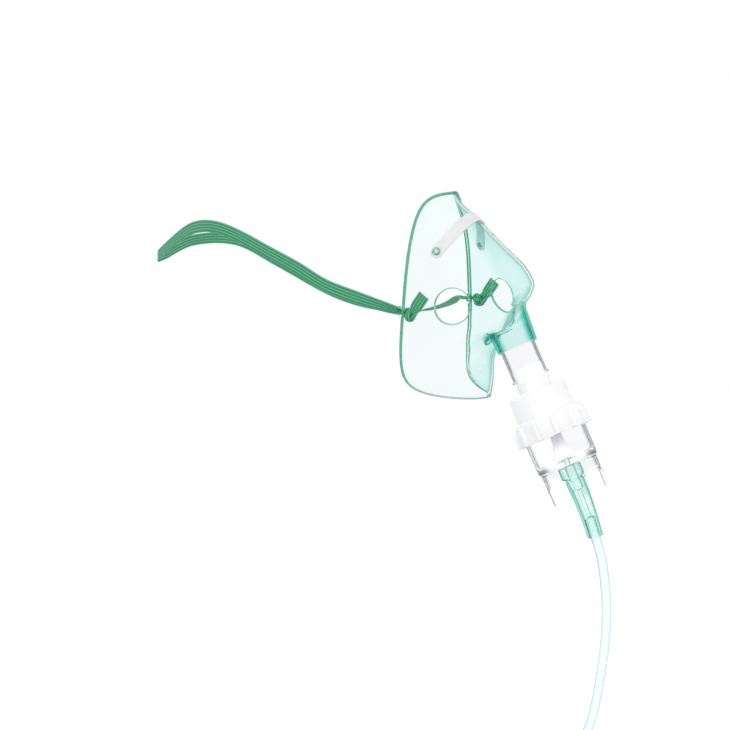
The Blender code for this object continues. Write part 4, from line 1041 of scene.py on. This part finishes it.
def strap_end(side, twist=0.0):
    """Rows of x, y, z, half width, half thickness and twist, from inside the mask to the end's stub."""
    neck_w, neck_t = STRAP_NECK[0] / 2, STRAP_NECK[1] / 2
    knot_w, knot_t = KNOT[0] / 2, KNOT[1] / 2
    out = eyelet.col[2].to_3d()
    middle = eyelet.translation - out * (WALL / 2)
    knot = middle + out * KNOT_OUT + KNOT_SHIFT
    gathered_at, narrow, swell = STUB_GATHERED
    rows = [
        (middle - out * INSIDE_END + INSIDE_SHIFT, (wide + neck_w) / 2, (thick + neck_t) / 2),
        (middle - out * INSIDE_NECK, neck_w, neck_t), (middle, neck_w, neck_t),
        (middle + out * OUTSIDE_NECK, neck_w, neck_t),
        (knot - out * KNOT_BACK, knot_w, knot_t), (knot + STUB_WAY * KNOT_ALONG, knot_w, knot_t),
        (knot + STUB_WAY * gathered_at, wide * narrow, thick * swell),
        (knot + STUB_WAY * STUB_FLAT, wide, thick), (knot + STUB_WAY * STUB_LENGTH, wide, thick)]
    twists = [twist, twist, twist, twist / 2] + [0.0] * 5
    return [(side * p.x, p.y, p.z, w, t, turn) for (p, w, t), turn in zip(rows, twists)]


strap_rows = (list(reversed(strap_end(-1))) + [(x, y, z, wide, thick, turn) for x, y, z, turn in STRAP_ROUTE]
              + strap_end(1, STRAP_ROUTE[-1][3]))
print("strap rows:", len(strap_rows))

# %% [markdown]
# ## The way the strap faces
# Between the rows the strap needs a frame at every step: where it is, which way its width goes and
# which way it faces. At the mask it faces sideways and a little forwards. Further back it faces away
# from the middle of the loop, as elastic does that is pulled round something. A row can twist it more.

# %% Frames along the strap
STRAP_STEPS = 420
TURN_FROM, TURN_OVER = 4, 16          # y where it starts to turn from one way to the other, and over how much
SLIGHTLY_FORWARDS = -6                # y of the way it faces at the mask, where x is 40 to 50
LOOP_MIDDLE, LOOP_ROUNDNESS = 85, 0.9      # y of the loop's middle, and 1 for a round loop
strap_samples = [curve_through(strap_rows, i * (len(strap_rows) - 1) / STRAP_STEPS)
                 for i in range(STRAP_STEPS + 1)]
strap_frames, strap_lengths = [], [0.0]
for index, row in enumerate(strap_samples):
    here = Vector(row[:3])
    before = Vector(strap_samples[max(index - 1, 0)][:3])
    after = Vector(strap_samples[min(index + 1, STRAP_STEPS)][:3])
    along = (after - before).normalized()
    behind = min(max((here.y - TURN_FROM) / TURN_OVER, 0.0), 1.0)
    away = Vector((here.x, LOOP_ROUNDNESS * (here.y - LOOP_MIDDLE), 0))
    outward = Vector((here.x, SLIGHTLY_FORWARDS, 0)).lerp(away, behind)
    outward = (outward - along * outward.dot(along)).normalized()
    outward.rotate(Quaternion(along, math.radians(row[5])))
    strap_frames.append((here, along.cross(outward), outward))
    if index:
        strap_lengths.append(strap_lengths[-1] + (here - strap_frames[index - 1][0]).length)
print("strap length, mm:", round(strap_lengths[-1]))

# %% [markdown]
# ## Laying the strap
# A grid is as wide as the way round the section and as long as the strap. Each point goes to its
# place on the ribbed section, and takes along its length as UV and the height of its rib. The long
# edges are merged and both ends closed.

# %% Lay the strap
STRAP_SIDES = 56
FRONT_SHARE = 0.44          # share of the section's points on each broad face
EDGE_ROUND = 0.7            # radius of the strap's edges, as a share of half its thickness
GROOVE_HEIGHT, EDGE_TONE = 0.55, 0.3    # height of a groove as a share of a rib's, and the edges' tone


def strap_section(share, half_width, half_thick):
    """Across, lift and rib height of a point on the section: a ribbed outer and inner face with round edges."""
    corner = (1 - 2 * FRONT_SHARE) / 2
    edge_round = half_thick * EDGE_ROUND
    side = 1
    if share >= FRONT_SHARE + corner:
        side, share = -1, share - FRONT_SHARE - corner
    if share < FRONT_SHARE:
        across = side * (1 - 2 * share / FRONT_SHARE)
        rib = 0.5 + 0.5 * math.cos(math.pi * (across * STRAP_RIBS + STRAP_RIBS + 1))
        lift = half_thick * (GROOVE_HEIGHT + (1 - GROOVE_HEIGHT) * rib)
        return across * (half_width - edge_round), side * lift, rib
    angle = math.pi * (share - FRONT_SHARE) / corner
    across = half_width - edge_round + edge_round * math.sin(angle)
    return -side * across, side * half_thick * GROOVE_HEIGHT * math.cos(angle), EDGE_TONE


bpy.ops.object.select_all(action="DESELECT")
bpy.ops.mesh.primitive_grid_add(x_subdivisions=STRAP_SIDES, y_subdivisions=STRAP_STEPS, size=1)
strap = bpy.context.active_object
strap.name = "elastic_strap_knit"
uv_layer = strap.data.uv_layers.active
uv_layer.name = "strap"
rib_layer = strap.data.attributes.new("rib", "FLOAT", "POINT")
shares = [(v.co.x + 0.5, round((v.co.y + 0.5) * STRAP_STEPS)) for v in strap.data.vertices]
for loop in strap.data.loops:
    u, step = shares[loop.vertex_index]
    uv_layer.data[loop.index].uv = (u * 2 * STRAP_WIDTH, strap_lengths[step])
for vertex, (u, step) in zip(strap.data.vertices, shares):
    rib_layer.data[vertex.index].value = strap_section(u % 1.0, wide, thick)[2]
    here, up, outward = strap_frames[step]
    across, lift, _ = strap_section(u % 1.0, *strap_samples[step][3:5])
    vertex.co = (here + up * across + outward * lift) * MM
only(strap)
bpy.ops.object.mode_set(mode="EDIT")
bpy.ops.mesh.select_all(action="SELECT")
bpy.ops.mesh.remove_doubles(threshold=WELD * MM)
bpy.ops.mesh.select_all(action="DESELECT")
bpy.ops.mesh.select_non_manifold()
bpy.ops.mesh.edge_face_add()
bpy.ops.object.mode_set(mode="OBJECT")
face_outwards(strap)
shade_by_angle(60)
strap.data.materials.clear()
strap.data.materials.append(elastic_knit)
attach(strap, "mask")
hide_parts("elastic_strap")
print("strap faces:", len(strap.data.polygons))

# %% [markdown]
# ## Knots
# Beyond each eyelet the elastic is slung round itself before its end comes free. Two flattened rings
# on each side stand for the slings. A ring is a torus primitive, squashed to the elastic's section,
# tilted, and covered with the same knit.

# %% Sling the elastic round its knots
# how far out and down a ring lies, its two radii and its tilt in degrees
KNOT_RINGS = ((4.6, -0.4, 3.1, 1.25, 24.0), (6.6, -1.6, 3.6, 1.35, -38.0))
RING_SQUASH, RING_TUBE_WIDTH, RING_RIBS = (0.85, 1.1, 1.25), 0.8, 5
knot_out = eyelet.col[2].to_3d()
for side, side_name in ((1, "left"), (-1, "right")):
    for number, (reach, drop, ring_radius, ring_tube, tilt) in enumerate(KNOT_RINGS):
        bpy.ops.object.select_all(action="DESELECT")
        bpy.ops.mesh.primitive_torus_add(major_segments=56, minor_segments=20, major_radius=ring_radius * MM,
                                         minor_radius=ring_tube * MM)
        ring = bpy.context.active_object
        ring.name = f"strap_knot_{side_name}_{number + 1}"
        ring.data.uv_layers.active.name = "strap"
        for loop in ring.data.uv_layers["strap"].data:
            loop.uv = (loop.uv.y * STRAP_WIDTH, loop.uv.x * 2 * math.pi * ring_radius)
        rib_layer = ring.data.attributes.new("rib", "FLOAT", "POINT")
        for vertex in ring.data.vertices:
            x, y, z = vertex.co / MM
            reached = math.hypot(x, y)
            around = math.atan2(z, reached - ring_radius)
            rib_layer.data[vertex.index].value = 0.5 + 0.5 * math.cos(RING_RIBS * around)
            grow = (ring_radius + (reached - ring_radius) * RING_TUBE_WIDTH) / reached
            squash_x, squash_y, squash_z = RING_SQUASH
            vertex.co = Vector((x * grow * squash_x, y * grow * squash_y, z * squash_z)) * MM
        lean = facing(knot_out, eyelet.translation + knot_out * reach + Vector((0, 0, drop)))
        lean = lean @ Matrix.Rotation(math.radians(tilt), 4, "X")
        place = lean if side > 0 else Matrix.Scale(-1, 4, Vector((1, 0, 0))) @ lean
        ring.data.transform(in_metres(place))
        face_outwards(ring)
        bpy.ops.object.shade_smooth()
        ring.data.materials.append(elastic_knit)
        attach(ring, "mask")
print("knot rings:", 2 * len(KNOT_RINGS))

# %% [markdown]
# ## The tube
# A cord is a fixed length that hangs and lies under its own weight. The tube leaves the connector,
# hangs in a long bow down to a tied coil, three turns wide and three high, and ends in the second
# connector, which lies beside the coil. It is one curve with a round bevel, so first comes its route.

# %% Route of the tube
TABLE = -310.0
COIL_MEAN_RADIUS, COIL_CENTRE, TIE_THICKNESS = 33.0, Vector((-45.0, -20.0, 0)), 0.7
STRAIGHT_OUT = (6, 14)       # the tube first goes straight on from the connector to these distances
HANGING_STEPS = 4            # steps from one point of the bow to the next
# Cells of the coil's section, lane and level, in the order in which the tube is wound
WINDING = [(1, 2), (0, 2), (-1, 2), (-1, 1), (-1, 0), (0, 0), (0, 1), (1, 1), (1, 0)]
STEPS_A_TURN, CROSSING = 24, 5        # the last steps of a turn cross over to the next cell
TAIL_SHARES = (0.25, 0.5, 0.75, 1.0)


def eased(share):
    """From 0 to 1 with a soft start and end."""
    return share * share * (3 - 2 * share)


tube_radius = TUBE_DIAMETER / 2
lane_outer = COIL_MEAN_RADIUS + TUBE_DIAMETER
coil_low = TABLE + TIE_THICKNESS + 2 * FIT + tube_radius
coil_top = coil_low + 2 * TUBE_DIAMETER
exit_matrix = upper_connector @ bent_axis(connector_length, CONNECTOR_SAG)
exit_place, exit_way = exit_matrix.translation, exit_matrix.col[2].to_3d()
inside = [(upper_connector @ bent_axis(connector_length - depth, CONNECTOR_SAG)).translation
          for depth in (SOCKET_DEPTH - FIT, (SOCKET_DEPTH - FIT) / 2)]
hanging = [
    *[tuple(p) for p in inside], tuple(exit_place), *[tuple(exit_place + exit_way * way) for way in STRAIGHT_OUT],
    (0, -121.9, -157), (0, -123.7, -172), (0, -124.0, -189), (0, -122.7, -208), (0, -120.2, -227),
    (-0.2, -116.6, -247), (-0.6, -110.6, -264), (-1.5, -100.5, -278.5), (-2.8, -87, -288.5),
    (-4.4, -71.5, coil_top + 0.5), *[(COIL_CENTRE.x + lane_outer, y, coil_top) for y in (-54, -38, -24)]]
route = [curve_through(hanging, i / HANGING_STEPS) for i in range((len(hanging) - 1) * HANGING_STEPS + 1)]
total_steps = STEPS_A_TURN * (len(WINDING) - 1) + STEPS_A_TURN // 2   # the tail leaves half a turn later
for step in range(total_steps + 1):
    turn, part = divmod(step, STEPS_A_TURN)
    cell = Vector(WINDING[min(turn, len(WINDING) - 1)])
    after = Vector(WINDING[min(turn + 1, len(WINDING) - 1)])
    cell = cell.lerp(after, eased(max(0.0, (part - (STEPS_A_TURN - CROSSING)) / CROSSING)))
    angle = 2 * math.pi * step / STEPS_A_TURN
    radius = COIL_MEAN_RADIUS + TUBE_DIAMETER * cell.x
    height = coil_low + TUBE_DIAMETER * cell.y
    route.append((COIL_CENTRE.x + radius * math.cos(angle), COIL_CENTRE.y + radius * math.sin(angle), height))
tail_end = far_connector @ Vector((0, 0, connector_length))
tail_way = -far_connector.col[2].to_3d()
leave = Vector(route[-1])
for share in TAIL_SHARES:
    route.append((leave.x + (tail_end.x - leave.x) * share, leave.y + (tail_end.y - leave.y) * share,
                  leave.z + eased(share) * (tail_end.z - leave.z)))
route.append(tuple(tail_end + tail_way * (SOCKET_DEPTH - FIT)))
print("route points:", len(route))

# %% [markdown]
# ## The tube as a cord
# The route gets its round bevel, and the tie is finished like the clip. The tube's length is added up along its
# route.

tube = round_line("supply_tube", route, [1.0] * len(route), tube_radius, tube_vinyl)
tube_length = sum((Vector(q) - Vector(p)).length for p, q in zip(route, route[1:]))
tie = copy_of_node("coil_tie", "coil_tie_band", bevel=0.2, angle=EDGE_ANGLE, material=tie_paper)
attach(tie, "mask")
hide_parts("coil_tie")
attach(tube, "mask")
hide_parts("oxygen_tube", "tube_coil")
print("tube length, mm:", round(tube_length))

# %% [markdown]
# ## The floor
# The floor is a pale sheet under the coil. To the camera it shows a little of its own light, so that
# it goes out to the white of the background, and it still keeps the soft shadow. Light Path tells a
# ray of the camera from one that only lights the object.

# %% Floor
FLOOR_SIZE = 8                     # metres
FLOOR_GLOW, FLOOR_FADE = 0.5, (0.35, 0.9)      # its own light, and the distances in metres over which it blanks


def white_light(tree, kind, strength):
    return add_node(tree, kind, {"Color": linear("#ffffff"), "Strength": strength}).outputs[0]


def seen_share(tree):
    """1 for a ray that shows what is behind to the eye: straight, in a mirror or through clear plastic."""
    rays = add_node(tree, "ShaderNodeLightPath").outputs
    seen = maths(tree, "MAXIMUM", rays["Is Camera Ray"], rays["Is Glossy Ray"])
    return maths(tree, "MAXIMUM", seen, rays["Is Transmission Ray"])


bpy.ops.object.select_all(action="DESELECT")
bpy.ops.mesh.primitive_plane_add(size=FLOOR_SIZE, location=(0, 0, TABLE * MM))
ground = bpy.context.active_object
ground.name = "floor"
# White to the camera, with a soft grey shadow under the coil
floor_paper, tree = new_material("floor, matt white paper")
paper = add_node(tree, "ShaderNodeBsdfDiffuse", {"Color": linear("#e6e6e6")}).outputs["BSDF"]
glow = white_light(tree, "ShaderNodeEmission", FLOOR_GLOW)
lit = add_node(tree, "ShaderNodeAddShader", {0: paper, 1: glow}).outputs["Shader"]
fade = map_range(tree, vector_maths(tree, "LENGTH", coordinates(tree)), *FLOOR_FADE)
lit = mix_shaders(tree, fade, lit, white_light(tree, "ShaderNodeEmission", 1.0))
surface(tree, mix_shaders(tree, seen_share(tree), paper, lit))
ground.data.materials.append(floor_paper)

# %% [markdown]
# ## World and lamps
# The world is white to the camera and a little darker as a light. Three large lamps light the object
# evenly: one high up near the camera, one from the right and one from behind. A small fourth one on
# the left is there for narrow highlights.

# %% World and lamps
ROOM_LIGHT = 0.72
LAMPS_AIM = Vector((0, 0, -0.02))       # metres, as are the places and sizes of the lamps
world = bpy.data.worlds.new("studio")
bpy.context.scene.world = world
world.use_nodes = True
tree = world.node_tree
tree.nodes.clear()
sky = mix_shaders(tree, seen_share(tree), white_light(tree, "ShaderNodeBackground", ROOM_LIGHT),
                  white_light(tree, "ShaderNodeBackground", 1.0))
add_node(tree, "ShaderNodeOutputWorld", {"Surface": sky})
LAMPS = (("key lamp", (-1.3, -0.8, 1.7), 1.8, 20), ("side lamp", (1.2, -1.7, 0.9), 1.6, 7),
         ("back lamp", (0.6, 1.6, 1.2), 1.4, 7), ("strip lamp", (-1.5, 0.25, 0.35), 0.25, 2.2))
for name, place, size, power in LAMPS:
    bpy.ops.object.light_add(type="AREA", location=place)
    light = bpy.context.active_object
    light.name = name
    light.data.size, light.data.energy = size, power
    light.rotation_mode = "QUATERNION"
    light.rotation_quaternion = (LAMPS_AIM - light.location).to_track_quat("-Z", "Y")
scene = bpy.context.scene
scene.view_settings.view_transform = "Standard"
# Light is reflected many times inside a clear wall before it comes out
scene.cycles.max_bounces, scene.cycles.glossy_bounces, scene.cycles.transmission_bounces = 40, 24, 32
scene.cycles.transparent_max_bounces = 32
